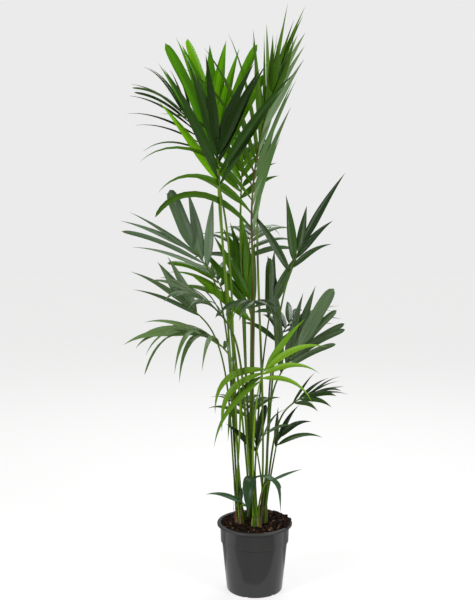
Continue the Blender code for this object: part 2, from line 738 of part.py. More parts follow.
def make_palm(parts):
    """The stems, then every stalk, then every rib, then the leaflets frond by frond."""
    obstacles = [tree_of_object(obj) for obj in parts.objects]
    for name, stem in STEMS.items():
        obstacles.append(tree_of_object(make_stem(name, stem, parts)))
    placed = []
    for name, stem in STEMS.items():
        _, _, top, axis = stem_axis(stem)
        free = slots(stem)
        carried = [frond for frond in FRONDS if frond.stem == name]
        for frond in sorted(carried, key=lambda f: -(Vector(f.hip) - top).angle(axis)):
            place, bow = clear_stalk(frond, axis, free, placed)
            steps = TALL_STALK_STEPS if frond.hip[2] > TALL_HIP else SHORT_STALK_STEPS
            points, radii = stalk_line(frond, place, axis, bow, steps)
            stalk = tube("stalk_" + frond.name, points, radii, 1, parts)
            paint(stalk, STALK_GREEN, 0.5)
            obstacles.append(tree_of_object(stalk))
    ribs = {frond.name: make_rib(frond, parts) for frond in FRONDS}
    rib_trees = {name: tree_of_object(rib) for name, rib in ribs.items()}
    for frond in FRONDS:
        others = obstacles + [tree for name, tree in rib_trees.items() if name != frond.name]
        leaflets = fitted_leaflets(frond, others)
        for line, width, thickness, stations in leaflets:
            obstacles.append(tree_of(*blade(line, width, thickness, stations)))
        fuse(ribs[frond.name], leaflets)
        paint(ribs[frond.name], frond.colour, 0.4)


def main():
    clear_scene()
    scene = bpy.context.scene
    scene.unit_settings.system = "METRIC"
    parts = new_collection("kentia_palm", scene.collection)
    cutters = new_collection("kentia_palm_cutters", scene.collection)
    make_pot(parts, cutters)
    make_soil(parts)
    make_palm(parts)


main()
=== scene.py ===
import json
import math
import random
from dataclasses import dataclass

import bpy
import numpy as np
from mathutils import Euler, Matrix, Vector, noise
from mathutils.bvhtree import BVHTree

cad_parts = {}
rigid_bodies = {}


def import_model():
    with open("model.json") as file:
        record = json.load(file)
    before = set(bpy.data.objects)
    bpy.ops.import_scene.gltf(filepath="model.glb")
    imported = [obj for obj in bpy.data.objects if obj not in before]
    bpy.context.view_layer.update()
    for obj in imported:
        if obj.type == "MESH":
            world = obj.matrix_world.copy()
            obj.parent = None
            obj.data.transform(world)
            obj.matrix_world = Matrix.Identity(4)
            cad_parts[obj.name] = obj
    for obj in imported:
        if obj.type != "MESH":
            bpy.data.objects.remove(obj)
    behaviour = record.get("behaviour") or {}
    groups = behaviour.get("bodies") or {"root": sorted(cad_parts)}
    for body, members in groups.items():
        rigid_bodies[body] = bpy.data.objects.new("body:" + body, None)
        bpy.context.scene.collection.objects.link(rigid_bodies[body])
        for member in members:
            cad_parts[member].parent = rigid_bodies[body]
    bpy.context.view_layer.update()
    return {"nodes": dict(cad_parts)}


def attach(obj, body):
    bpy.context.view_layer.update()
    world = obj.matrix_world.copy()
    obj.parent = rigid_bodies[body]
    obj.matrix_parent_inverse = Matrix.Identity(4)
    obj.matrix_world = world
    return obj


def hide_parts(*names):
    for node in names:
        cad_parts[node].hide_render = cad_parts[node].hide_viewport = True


for startup_object in list(bpy.data.objects):
    bpy.data.objects.remove(startup_object, do_unlink=True)
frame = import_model()

# Lengths are metres and angles are degrees. The origin is the centre of the pot's flat underside, +Z is up,
# +X is to the right of someone who faces the plant, and +Y leads away from them.


# The camera stands three metres in front of the plant, a little above its middle, and looks slightly down.
# Its place, tilt and lens are fitted to the way the photograph shows the pot's rim and foot.

CAMERA_PLACE = (-0.055, -3.0, 1.266)
CAMERA_TILT = 83.7
CAMERA_LENS = 57.9
CAMERA_SENSOR = 36

bpy.ops.object.camera_add(location=CAMERA_PLACE, rotation=(math.radians(CAMERA_TILT), 0, 0))
camera = bpy.context.object
camera.data.lens = CAMERA_LENS
camera.data.sensor_width = CAMERA_SENSOR
bpy.context.scene.camera = camera


# The studio: a pale floor under an evenly bright sky, a tall softbox on each side of the camera and a
# wide one behind and above the plant, which lights the upper leaves from the back. A bright table ends just
# in front of the pot, and only shows in the pot's shine. Colours are shown plain.

FLOOR_SIZE = 24
STUDIO_GREY = (0.33, 0.33, 0.33, 1)
FLOOR_ROUGHNESS = 0.9
FLOOR_GLOW = 0.72
TABLE_EDGE = -0.150
TABLE_DEPTH = 0.28
TABLE_WIDTH = 1.4
TABLE_DROP = 0.001
TABLE_ROUGHNESS = 0.5
TABLE_GLOW = 0.66
BACKGROUND_SHADE = (0.83, 0.83, 0.83, 1)
SKY_SHADE = (1.0, 0.99, 0.97, 1)
SKY_STRENGTH = 0.30


@dataclass
class Softbox:
    name: str
    place: tuple
    aim: tuple
    width: float
    height: float
    power: float


SOFTBOXES = (
    Softbox("left_softbox", (-2.3, -2.0, 1.5), (0, 0, 0.9), 1.0, 2.2, 60),
    Softbox("right_softbox", (2.2, -2.1, 1.6), (0, 0, 0.9), 0.9, 2.2, 48),
    Softbox("back_softbox", (0.4, 1.9, 3.2), (0, 0, 1.3), 1.8, 1.2, 50),
)


def glowing_paint(name, roughness, glow):
    """A pale paint that gives off an even white light of its own."""
    paint = bpy.data.materials.new(name)
    paint.use_nodes = True
    shader = paint.node_tree.nodes["Principled BSDF"]
    shader.inputs["Base Color"].default_value = STUDIO_GREY
    shader.inputs["Roughness"].default_value = roughness
    shader.inputs["Emission Color"].default_value = (1, 1, 1, 1)
    shader.inputs["Emission Strength"].default_value = glow
    return paint


bpy.ops.mesh.primitive_plane_add(size=FLOOR_SIZE)
floor = bpy.context.object
floor.name = "floor"
floor.data.materials.append(glowing_paint("floor_paint", FLOOR_ROUGHNESS, FLOOR_GLOW))
floor.visible_diffuse = False
floor.visible_glossy = False

bpy.ops.mesh.primitive_plane_add(size=1, location=(0, TABLE_EDGE + TABLE_DEPTH / 2, -TABLE_DROP))
table = bpy.context.object
table.name = "bright_table"
table.scale = (TABLE_WIDTH, TABLE_DEPTH, 1)
table.data.materials.append(glowing_paint("table_paint", TABLE_ROUGHNESS, TABLE_GLOW))
table.visible_camera = False
table.visible_diffuse = False
table.visible_shadow = False

sky = bpy.data.worlds.new("studio")
sky.use_nodes = True
sky_nodes = sky.node_tree.nodes
sky_light = sky_nodes["Background"]
sky_light.inputs["Color"].default_value = SKY_SHADE
sky_light.inputs["Strength"].default_value = SKY_STRENGTH
background = sky_nodes.new("ShaderNodeBackground")
background.inputs["Color"].default_value = BACKGROUND_SHADE
seen_directly = sky_nodes.new("ShaderNodeLightPath")
either = sky_nodes.new("ShaderNodeMixShader")
sky.node_tree.links.new(seen_directly.outputs["Is Camera Ray"], either.inputs["Fac"])
sky.node_tree.links.new(sky_light.outputs["Background"], either.inputs[1])
sky.node_tree.links.new(background.outputs["Background"], either.inputs[2])
sky.node_tree.links.new(either.outputs["Shader"], sky_nodes["World Output"].inputs["Surface"])
bpy.context.scene.world = sky
bpy.context.scene.view_settings.view_transform = "Standard"

for box in SOFTBOXES:
    turn = (Vector(box.aim) - Vector(box.place)).to_track_quat("-Z", "Y").to_euler()
    bpy.ops.object.light_add(type="AREA", location=box.place, rotation=turn)
    lamp = bpy.context.object
    lamp.name = box.name
    lamp.data.shape = "RECTANGLE"
    lamp.data.size = box.width
    lamp.data.size_y = box.height
    lamp.data.energy = box.power


# The pot: injection-moulded polypropylene, about 2.5 mm thick. It tapers to a rounded foot that stands on a
# low ring, has a collar above a small step, a rolled rim, and drain slots round its foot.

POT_HEIGHT = 0.220
RIM_RADIUS = 0.120
RIM_DEPTH = 0.006
RIM_ROUND = 0.0028
COLLAR_TOP_RADIUS = 0.1105
COLLAR_FOOT_RADIUS = 0.1085
COLLAR_FOOT_HEIGHT = 0.160
COLLAR_STEP = 0.004
STEP_SLOPE = 0.003
STEP_ROUND = 0.001
UNDER_RIM_FILLET = 0.0004
UNDER_RIM_GROOVE = 0.0002
RIM_EDGE_ROUND = 0.0010
RIM_CHAMFER = 0.0016
BASE_RADIUS = 0.0895
BASE_CORNER = 0.006
STAND_RING = 0.006
STAND_RECESS = 0.0015
POT_WALL = 0.0025
POT_FLOOR = 0.004
POT_SIDES = 160
DRAIN_SLOTS = 6
DRAIN_FIRST_HEADING = 11
DRAIN_WIDTH = 0.012
DRAIN_HEIGHT = 0.007
DRAIN_DEPTH = 0.016
DRAIN_CORNER = 0.003
POT_GREY = (0.043, 0.043, 0.043)
POT_GLOSS = (0.13, 0.19)
RUBBED_GLOSS = (0.42, 0.52)


def deselect_all():
    bpy.ops.object.select_all(action="DESELECT")


def turned(name, rings, sides):
    """A round piece: a disc's face extruded from ring to ring, each ring a radius and a height."""
    deselect_all()
    radius, height = rings[0]
    bpy.ops.mesh.primitive_circle_add(
        vertices=sides,
        radius=radius,
        fill_type="NGON",
        location=(0, 0, height),
    )
    piece = bpy.context.object
    piece.name = name
    bpy.ops.object.transform_apply(location=True, rotation=True, scale=True)
    bpy.ops.object.mode_set(mode="EDIT")
    bpy.ops.mesh.select_all(action="SELECT")
    for next_radius, next_height in rings[1:]:
        bpy.ops.mesh.extrude_region_move(TRANSFORM_OT_translate={"value": (0, 0, next_height - height)})
        share = next_radius / radius
        bpy.ops.transform.resize(value=(share, share, 1), center_override=(0, 0, 0))
        radius, height = next_radius, next_height
    bpy.ops.mesh.select_all(action="SELECT")
    bpy.ops.mesh.normals_make_consistent(inside=False)
    bpy.ops.object.mode_set(mode="OBJECT")
    return piece


def bend(middle_radius, middle_height, size, first, last, steps):
    """Rings along a rounded corner, from one angle to the other."""
    rings = []
    for i in range(steps + 1):
        angle = math.radians(first + (last - first) * i / steps)
        rings.append((middle_radius + size * math.cos(angle), middle_height + size * math.sin(angle)))
    return rings


def smooth_by_angle(piece, angle):
    deselect_all()
    piece.select_set(True)
    bpy.context.view_layer.objects.active = piece
    bpy.ops.object.shade_smooth_by_angle(angle=math.radians(angle))


def apply_modifiers(piece):
    bpy.context.view_layer.objects.active = piece
    for modifier in list(piece.modifiers):
        bpy.ops.object.modifier_apply(modifier=modifier.name)


def wall_radius(height):
    """Outer radius of the pot's body, below the collar."""
    share = (height - BASE_CORNER) / (COLLAR_FOOT_HEIGHT - BASE_CORNER)
    return BASE_RADIUS + share * (COLLAR_FOOT_RADIUS - COLLAR_STEP - BASE_RADIUS)


def new_material(name, colour, roughness):
    """A Principled material, with its shader and its node tree."""
    material = bpy.data.materials.new(name)
    material.use_nodes = True
    shader = material.node_tree.nodes["Principled BSDF"]
    shader.inputs["Base Color"].default_value = (*colour, 1)
    shader.inputs["Roughness"].default_value = roughness
    material.diffuse_color = (*colour, 1)
    return material, shader, material.node_tree


def speckle(tree, scale, stretch=(1, 1, 1), detail=4.0):
    """A noise pattern fixed to the object, stretched by a factor along each axis."""
    place = tree.nodes.new("ShaderNodeTexCoord")
    sized = tree.nodes.new("ShaderNodeMapping")
    sized.inputs["Scale"].default_value = stretch
    grain = tree.nodes.new("ShaderNodeTexNoise")
    grain.inputs["Scale"].default_value = scale
    grain.inputs["Detail"].default_value = detail
    tree.links.new(place.outputs["Object"], sized.inputs["Vector"])
    tree.links.new(sized.outputs["Vector"], grain.inputs["Vector"])
    return grain.outputs["Fac"]


def shades(tree, shader, pattern, stops):
    """Colours the surface by a pattern: each stop is a pattern value and a colour."""
    ramp = tree.nodes.new("ShaderNodeValToRGB")
    ramp.color_ramp.elements[0].position = stops[0][0]
    ramp.color_ramp.elements[0].color = (*stops[0][1], 1)
    ramp.color_ramp.elements[1].position = stops[-1][0]
    ramp.color_ramp.elements[1].color = (*stops[-1][1], 1)
    for place, colour in stops[1:-1]:
        ramp.color_ramp.elements.new(place).color = (*colour, 1)
    tree.links.new(pattern, ramp.inputs["Fac"])
    tree.links.new(ramp.outputs["Color"], shader.inputs["Base Color"])


def relief(tree, shader, pattern, depth, strength):
    """Raises the surface by a pattern."""
    bump = tree.nodes.new("ShaderNodeBump")
    bump.inputs["Distance"].default_value = depth
    bump.inputs["Strength"].default_value = strength
    tree.links.new(pattern, bump.inputs["Height"])
    tree.links.new(bump.outputs["Normal"], shader.inputs["Normal"])


def gloss_range(tree, shader, pattern, low, high):
    """Varies the roughness between two values by a pattern, which mostly lies from 0.3 to 0.7."""
    widened = tree.nodes.new("ShaderNodeMapRange")
    widened.inputs["From Min"].default_value = 0.3
    widened.inputs["From Max"].default_value = 0.7
    widened.inputs["To Min"].default_value = low
    widened.inputs["To Max"].default_value = high
    tree.links.new(pattern, widened.inputs["Value"])
    tree.links.new(widened.outputs["Result"], shader.inputs["Roughness"])


def scaled(colour, factor):
    return tuple(min(1.0, channel * factor) for channel in colour)


inner_top = COLLAR_TOP_RADIUS - POT_WALL
inner_foot = COLLAR_FOOT_RADIUS - COLLAR_STEP - POT_WALL
inner_floor = wall_radius(POT_FLOOR) - POT_WALL
lip_height = POT_HEIGHT - RIM_DEPTH
under_lip = lip_height - RIM_ROUND / 2
stand_radius = BASE_RADIUS - BASE_CORNER
pot = turned(
    "pot_shell",
    [
        (stand_radius - STAND_RING - STAND_RECESS, STAND_RECESS),
        (stand_radius - STAND_RING, 0),
        *bend(stand_radius, BASE_CORNER, BASE_CORNER, -90, -8, 6),
        (COLLAR_FOOT_RADIUS - COLLAR_STEP, COLLAR_FOOT_HEIGHT - STEP_SLOPE),
        *bend(COLLAR_FOOT_RADIUS - STEP_ROUND, COLLAR_FOOT_HEIGHT, STEP_ROUND, -60, 0, 3),
        (COLLAR_TOP_RADIUS - UNDER_RIM_GROOVE, under_lip),
        (COLLAR_TOP_RADIUS, under_lip + UNDER_RIM_FILLET),
        (RIM_RADIUS - RIM_CHAMFER, under_lip + UNDER_RIM_FILLET),
        *bend(RIM_RADIUS - RIM_EDGE_ROUND, lip_height, RIM_EDGE_ROUND, -60, 0, 3),
        *bend(RIM_RADIUS - RIM_ROUND, POT_HEIGHT - RIM_ROUND, RIM_ROUND, 0, 90, 6),
        *bend(inner_top + RIM_ROUND / 2, POT_HEIGHT - RIM_ROUND / 2, RIM_ROUND / 2, 90, 180, 4),
        (inner_top, COLLAR_FOOT_HEIGHT + 2 * COLLAR_STEP),
        (inner_foot, COLLAR_FOOT_HEIGHT),
        (inner_floor, POT_FLOOR + BASE_CORNER / 2),
        (inner_floor - BASE_CORNER / 2, POT_FLOOR),
    ],
    POT_SIDES,
)

drain_cutters = []
for slot in range(DRAIN_SLOTS):
    heading = math.radians(DRAIN_FIRST_HEADING + 360 * slot / DRAIN_SLOTS)
    deselect_all()
    bpy.ops.mesh.primitive_cube_add(
        size=1,
        location=(BASE_RADIUS * math.cos(heading), BASE_RADIUS * math.sin(heading), 0),
        rotation=(0, 0, heading),
        scale=(DRAIN_DEPTH, DRAIN_WIDTH, 2 * DRAIN_HEIGHT),
    )
    cutter = bpy.context.object
    rounding = cutter.modifiers.new("rounded", "BEVEL")
    rounding.width = DRAIN_CORNER
    rounding.segments = 4
    apply_modifiers(cutter)
    cut = pot.modifiers.new("drain", "BOOLEAN")
    cut.operation = "DIFFERENCE"
    cut.object = cutter
    drain_cutters.append(cutter)
apply_modifiers(pot)
for cutter in drain_cutters:
    bpy.data.objects.remove(cutter, do_unlink=True)
smooth_by_angle(pot, 30)


def moulded_plastic(name, gloss):
    """Grey polypropylene, faintly uneven in shade and gloss, with a very fine grain."""
    plastic, shader, tree = new_material(name, POT_GREY, gloss[1])
    shader.inputs["Specular IOR Level"].default_value = 0.45
    moulding = speckle(tree, 9, (1, 1, 0.4))
    shades(tree, shader, moulding, ((0.3, scaled(POT_GREY, 0.9)), (0.7, scaled(POT_GREY, 1.12))))
    gloss_range(tree, shader, speckle(tree, 60), *gloss)
    relief(tree, shader, speckle(tree, 1400, detail=2.0), 0.0001, 0.15)
    return plastic


pot.data.materials.append(moulded_plastic("grey_plastic", POT_GLOSS))
pot.data.materials.append(moulded_plastic("rubbed_rim_plastic", RUBBED_GLOSS))
for face in pot.data.polygons:
    if face.center.z > lip_height:
        face.material_index = 1
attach(pot, "root")
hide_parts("pot")


# The root ball: moist bark mix that fills the pot to just under its rim. Its top is a low uneven mound,
# heaped highest at the back and right, where it lies against the rim.

SOIL_CROWN = 0.219
SOIL_EDGE = 0.2125
SOIL_GAP = 0.0003
SOIL_SIDES = 120
SOIL_RINGS = 26
MOUND_LEVEL_TO = 0.55
MOUND_POWER = 1.5
HEAP_HEADING = 35
HEAP_HEIGHT = 0.007
COARSE_LUMP = 0.0022
COARSE_LUMPS_PER_METRE = 45
FINE_LUMP = 0.0016
FINE_LUMPS_PER_METRE = 120
PEAT_SHADES = ((0.35, (0.003, 0.0016, 0.0010)), (0.7, (0.024, 0.011, 0.006)))


def soil_height(x, y):
    """Height of the soil's surface over a point of the plan."""
    reach = math.hypot(x, y) / inner_top
    lowering = max(0.0, reach - MOUND_LEVEL_TO) / (1 - MOUND_LEVEL_TO)
    height = SOIL_CROWN - (SOIL_CROWN - SOIL_EDGE) * lowering**MOUND_POWER
    towards = math.cos(math.atan2(y, x) - math.radians(HEAP_HEADING))
    height += HEAP_HEIGHT * max(0.0, towards) * reach**2
    height += COARSE_LUMP * noise.noise(Vector((x, y, 0)) * COARSE_LUMPS_PER_METRE)
    height += FINE_LUMP * noise.noise(Vector((x, y, 3)) * FINE_LUMPS_PER_METRE)
    return height


soil_radius = inner_top - SOIL_GAP
soil_rings = [
    (inner_floor - BASE_CORNER / 2 - SOIL_GAP, POT_FLOOR + SOIL_GAP),
    (inner_floor - SOIL_GAP, POT_FLOOR + SOIL_GAP + BASE_CORNER / 2),
    (inner_foot - SOIL_GAP, COLLAR_FOOT_HEIGHT),
    (soil_radius, COLLAR_FOOT_HEIGHT + 2 * COLLAR_STEP),
]
for i in range(SOIL_RINGS):
    soil_rings.append((soil_radius * (1 - i / SOIL_RINGS), SOIL_EDGE))
root_ball = turned("root_ball", soil_rings, SOIL_SIDES)
for vertex in root_ball.data.vertices:
    if vertex.co.z > SOIL_EDGE - SOIL_GAP:
        vertex.co.z = soil_height(vertex.co.x, vertex.co.y)
smooth_by_angle(root_ball, 50)

peat, peat_shader, peat_tree = new_material("peat", (0.012, 0.007, 0.004), 0.95)
crumbs = speckle(peat_tree, 260)
shades(peat_tree, peat_shader, crumbs, PEAT_SHADES)
relief(peat_tree, peat_shader, crumbs, 0.003, 0.8)
peat_shader.inputs["Specular IOR Level"].default_value = 0.1
root_ball.data.materials.append(peat)
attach(root_ball, "root")
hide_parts("soil")


# Bark chips: crushed pine bark in dark flat flakes and a few paler slivers, lying loose over the soil at
# all angles. They are one joined mesh of flakes, and some lie over the rim on the right.

CHIP_COUNT = 3000
CHIP_SEED = 7
CHIP_FORMS = 6
CHIP_FORM_SEED = 40
FIRST_SLIVER = 4
SLIVER_BREADTH = 0.35
FLAKE_BREADTH = 0.75
CHIP_THICKNESS = 0.38
CHIP_JITTER = (0.7, 1.25)
LEAST_CHIP = 0.0020
CHIP_SIZE_RANGE = 0.0064
CHIP_SIZE_POWER = 2.6
CHIP_LIFT = 0.45
LOOSE_TILT = 32
EDGE_TILT = 18
EDGE_BAND = 0.008
CHIP_SHADES = (
    ("bark_black", (0.0045, 0.0022, 0.0014), 0.32),
    ("bark_dark", (0.016, 0.0068, 0.0042), 0.40),
    ("bark_red", (0.042, 0.018, 0.0105), 0.22),
    ("bark_pale", (0.14, 0.080, 0.050), 0.06),
)
STEM_FEET = {
    "left": (-0.044, -0.010),
    "front": (0.005, -0.046),
    "right": (0.024, -0.010),
    "back": (-0.008, 0.035),
}
STEM_CLEARANCE = 0.0155
RIM_CHIP_ARC = (-35, 85)
RIM_CHIP_REACH = 0.006
RIM_CHIP_LIE = 0.0015
WALL_CLEARANCE = 0.003
CHIP_PILE = 0.008
PILE_CREST = 0.86
PILE_WIDTH = 0.2


def flake_forms():
    """A few faceted flakes and slivers, each modelled once: its unit-sized points and its faces."""
    forms = []
    for form in range(CHIP_FORMS):
        chance = random.Random(CHIP_FORM_SEED + form)
        deselect_all()
        bpy.ops.mesh.primitive_ico_sphere_add(subdivisions=1, radius=1)
        flake = bpy.context.object
        breadth = SLIVER_BREADTH if form >= FIRST_SLIVER else FLAKE_BREADTH
        points = []
        for vertex in flake.data.vertices:
            x, y, z = vertex.co
            jitter = [chance.uniform(*CHIP_JITTER) for _ in range(3)]
            points.append((x * jitter[0], y * breadth * jitter[1], z * CHIP_THICKNESS * jitter[2]))
        faces = np.array([tuple(face.vertices) for face in flake.data.polygons])
        forms.append((np.array(points), faces))
        bpy.data.objects.remove(flake, do_unlink=True)
    return forms


def mesh_piece(name, points, faces):
    """A new piece from its points and faces."""
    mesh = bpy.data.meshes.new(name)
    mesh.from_pydata(points, [], faces)
    piece = bpy.data.objects.new(name, mesh)
    bpy.context.scene.collection.objects.link(piece)
    return piece


chip_chance = random.Random(CHIP_SEED)
chip_forms = flake_forms()
chip_points = []
chip_faces = []
chip_shades = []
chip_start = 0
while len(chip_shades) < CHIP_COUNT:
    heading = chip_chance.uniform(-180, 180)
    over_rim = RIM_CHIP_ARC[0] < heading < RIM_CHIP_ARC[1]
    furthest = inner_top + RIM_CHIP_REACH if over_rim else inner_top - WALL_CLEARANCE
    reach = furthest * math.sqrt(chip_chance.random())
    x = reach * math.cos(math.radians(heading))
    y = reach * math.sin(math.radians(heading))
    if any(math.hypot(x - a, y - b) < STEM_CLEARANCE for a, b in STEM_FEET.values()):
        continue
    form_points, form_faces = chip_chance.choice(chip_forms)
    size = LEAST_CHIP + CHIP_SIZE_RANGE * chip_chance.random() ** CHIP_SIZE_POWER
    tilt = LOOSE_TILT if reach < inner_top - EDGE_BAND else EDGE_TILT
    turn = Euler(
        (
            math.radians(chip_chance.uniform(-tilt, tilt)),
            math.radians(chip_chance.uniform(-tilt, tilt)),
            chip_chance.uniform(0, 2 * math.pi),
        )
    ).to_matrix()
    lie = soil_height(x, y)
    if reach >= inner_top:
        lie = max(lie, POT_HEIGHT + RIM_CHIP_LIE)
    z = lie + size * chip_chance.uniform(0.0, CHIP_LIFT)
    if over_rim:
        from_crest = abs(reach / inner_top - PILE_CREST)
        z += CHIP_PILE * chip_chance.random() * max(0.0, 1 - from_crest / PILE_WIDTH)
    chip_points.append(form_points * size @ np.array(turn).T + (x, y, z))
    chip_faces.append(form_faces + chip_start)
    chip_start += len(form_points)
    shade_shares = [share for _, _, share in CHIP_SHADES]
    chip_shades.append(chip_chance.choices(range(len(CHIP_SHADES)), shade_shares)[0])

bark_chips = mesh_piece(
    "bark_chips",
    np.concatenate(chip_points).tolist(),
    np.concatenate(chip_faces).tolist(),
)
for name, colour, _ in CHIP_SHADES:
    bark, bark_shader, bark_tree = new_material(name, colour, 0.85)
    weathering = speckle(bark_tree, 500)
    shades(bark_tree, bark_shader, weathering, ((0.35, scaled(colour, 0.6)), (0.65, scaled(colour, 1.5))))
    relief(bark_tree, bark_shader, weathering, 0.0008, 0.6)
    bark_shader.inputs["Specular IOR Level"].default_value = 0.12
    bark_chips.data.materials.append(bark)
faces_each = len(chip_forms[0][1])
face_shades = np.repeat(chip_shades, faces_each).astype(np.int32)
bark_chips.data.polygons.foreach_set("material_index", face_shades)
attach(bark_chips, "root")


# The stems: short young trunks ringed by the scars of fallen leaves, their feet sunk a little in the soil.
# Each is mostly hidden by the stalks and the leaf bases round it.

STEM_FOOT_RADIUS = 0.0140
STEM_TOP_RADIUS = 0.0115
STEM_TAPER_RATE = 1.6
STEM_NECK_HEIGHT = 0.012
STEM_FOOT_SUNK = 0.006
SCAR_SPACING = 0.006
SCAR_DEPTH = 0.0006
ROD_MERGE = 1e-6
CANE_SHADES = ((0.3, (0.035, 0.022, 0.012)), (0.5, (0.075, 0.055, 0.022)), (0.7, (0.10, 0.10, 0.035)))
UP = Vector((0, 0, 1))


@dataclass
class Stem:
    """A short trunk: its foot in plan and its top in space."""

    foot: tuple
    top: tuple


STEMS = {
    "left": Stem(STEM_FEET["left"], (-0.048, -0.010, 0.270)),
    "front": Stem(STEM_FEET["front"], (0.003, -0.047, 0.255)),
    "right": Stem(STEM_FEET["right"], (0.029, -0.010, 0.280)),
    "back": Stem(STEM_FEET["back"], (-0.009, 0.036, 0.270)),
}


def stem_axis(stem):
    """A stem's foot on the soil, the neck above its flare, its top, and the way it leans."""
    foot = Vector((*stem.foot, SOIL_CROWN + SOIL_GAP))
    neck = foot + UP * STEM_NECK_HEIGHT
    top = Vector(stem.top)
    return foot, neck, top, (top - neck).normalized()


def rod(name, points, radii, roundness):
    """A round rod along the points, drawn as a curve with a radius at each point and made a mesh."""
    curve = bpy.data.curves.new(name, "CURVE")
    curve.dimensions = "3D"
    curve.bevel_depth = 1
    curve.bevel_resolution = roundness
    curve.use_fill_caps = True
    spline = curve.splines.new("POLY")
    spline.points.add(len(points) - 1)
    for place, point, radius in zip(spline.points, points, radii):
        place.co = (*point, 1)
        place.radius = radius
    piece = bpy.data.objects.new(name, curve)
    bpy.context.scene.collection.objects.link(piece)
    deselect_all()
    piece.select_set(True)
    bpy.context.view_layer.objects.active = piece
    bpy.ops.object.convert(target="MESH")
    bpy.ops.object.mode_set(mode="EDIT")
    bpy.ops.mesh.select_all(action="SELECT")
    bpy.ops.mesh.remove_doubles(threshold=ROD_MERGE)
    bpy.ops.mesh.normals_make_consistent(inside=False)
    bpy.ops.object.mode_set(mode="OBJECT")
    return piece


cane, cane_shader, cane_tree = new_material("cane", (0.07, 0.06, 0.02), 0.7)
cane_mottle = speckle(cane_tree, 120, (1, 1, 0.5))
shades(cane_tree, cane_shader, cane_mottle, CANE_SHADES)
relief(cane_tree, cane_shader, cane_mottle, 0.001, 0.6)

for stem_name, stem in STEMS.items():
    foot, _, top, _ = stem_axis(stem)
    foot = foot - UP * STEM_FOOT_SUNK
    count = int((top - foot).length / SCAR_SPACING) * 2
    points = [foot.lerp(top, i / count) for i in range(count + 1)]
    radii = []
    for i, point in enumerate(points):
        share = min(1.0, (point - foot).length / (top - foot).length * STEM_TAPER_RATE)
        radius = STEM_FOOT_RADIUS + (STEM_TOP_RADIUS - STEM_FOOT_RADIUS) * share
        radii.append(radius - (SCAR_DEPTH if i % 2 else 0.0))
    trunk = rod("cane_" + stem_name, points, radii, 10)
    smooth_by_angle(trunk, 40)
    trunk.data.materials.append(cane)
    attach(trunk, "root")
    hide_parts("stem_" + stem_name)


# The leaf stalks: smooth green rods that clasp the stems, rise from them in tight bundles and run on as the
# ribs that carry the leaflets. Each is thickest below its middle, and bows a little aside to keep clear of
# the others.

SLOT_RING_RADIUS = 0.0078
RING_SLOTS = 6
STALK_FOOT_RADIUS = 0.0027
STALK_LEAST_RADIUS = 0.003
STALK_GROWTH = 0.0055
LONGEST_RIB_COUNTED = 0.26
STALK_TAPER = 0.001
STALK_SWELL = 2.5
SHEATHED_FOOT = 0.0008
SHEATHED_TAPER_RATE = 5
HIP_LEAD = 0.006
STEM_PULL = 0.75
HIP_PULL = 0.6
RIB_PULL = 0.7
SPACING_STEPS = 40
BOW_SIZES = (0, 0.004, 0.008, 0.012, 0.018, 0.024, 0.03, 0.04)
BOW_HEADINGS = 12
CLEARANCE = 0.0007
RIB_STATIONS = 12
RIB_TAPER = 0.55
FINE_STALK_STEPS = 36
FINE_RIB_STEPS = 18


@dataclass
class Side:
    """The leaflets along one side of a rib: opening and sag run from the first leaflet to the last."""

    opening: tuple
    length: float
    sag: tuple
    last_share: float = 0.74
    breadth: float = 1.0
    twist: float = 0.0


@dataclass
class Frond:
    """A leaf of the palm: a stalk from its stem to the hip, then a rib that carries leaflets in pairs."""

    name: str
    stem: str
    hip: tuple
    heading: float
    rise: float
    rib: float
    arch: float
    roll: float
    pairs: int
    width: float
    lift: float
    left: Side
    right: Side
    tint: str
    seed: int


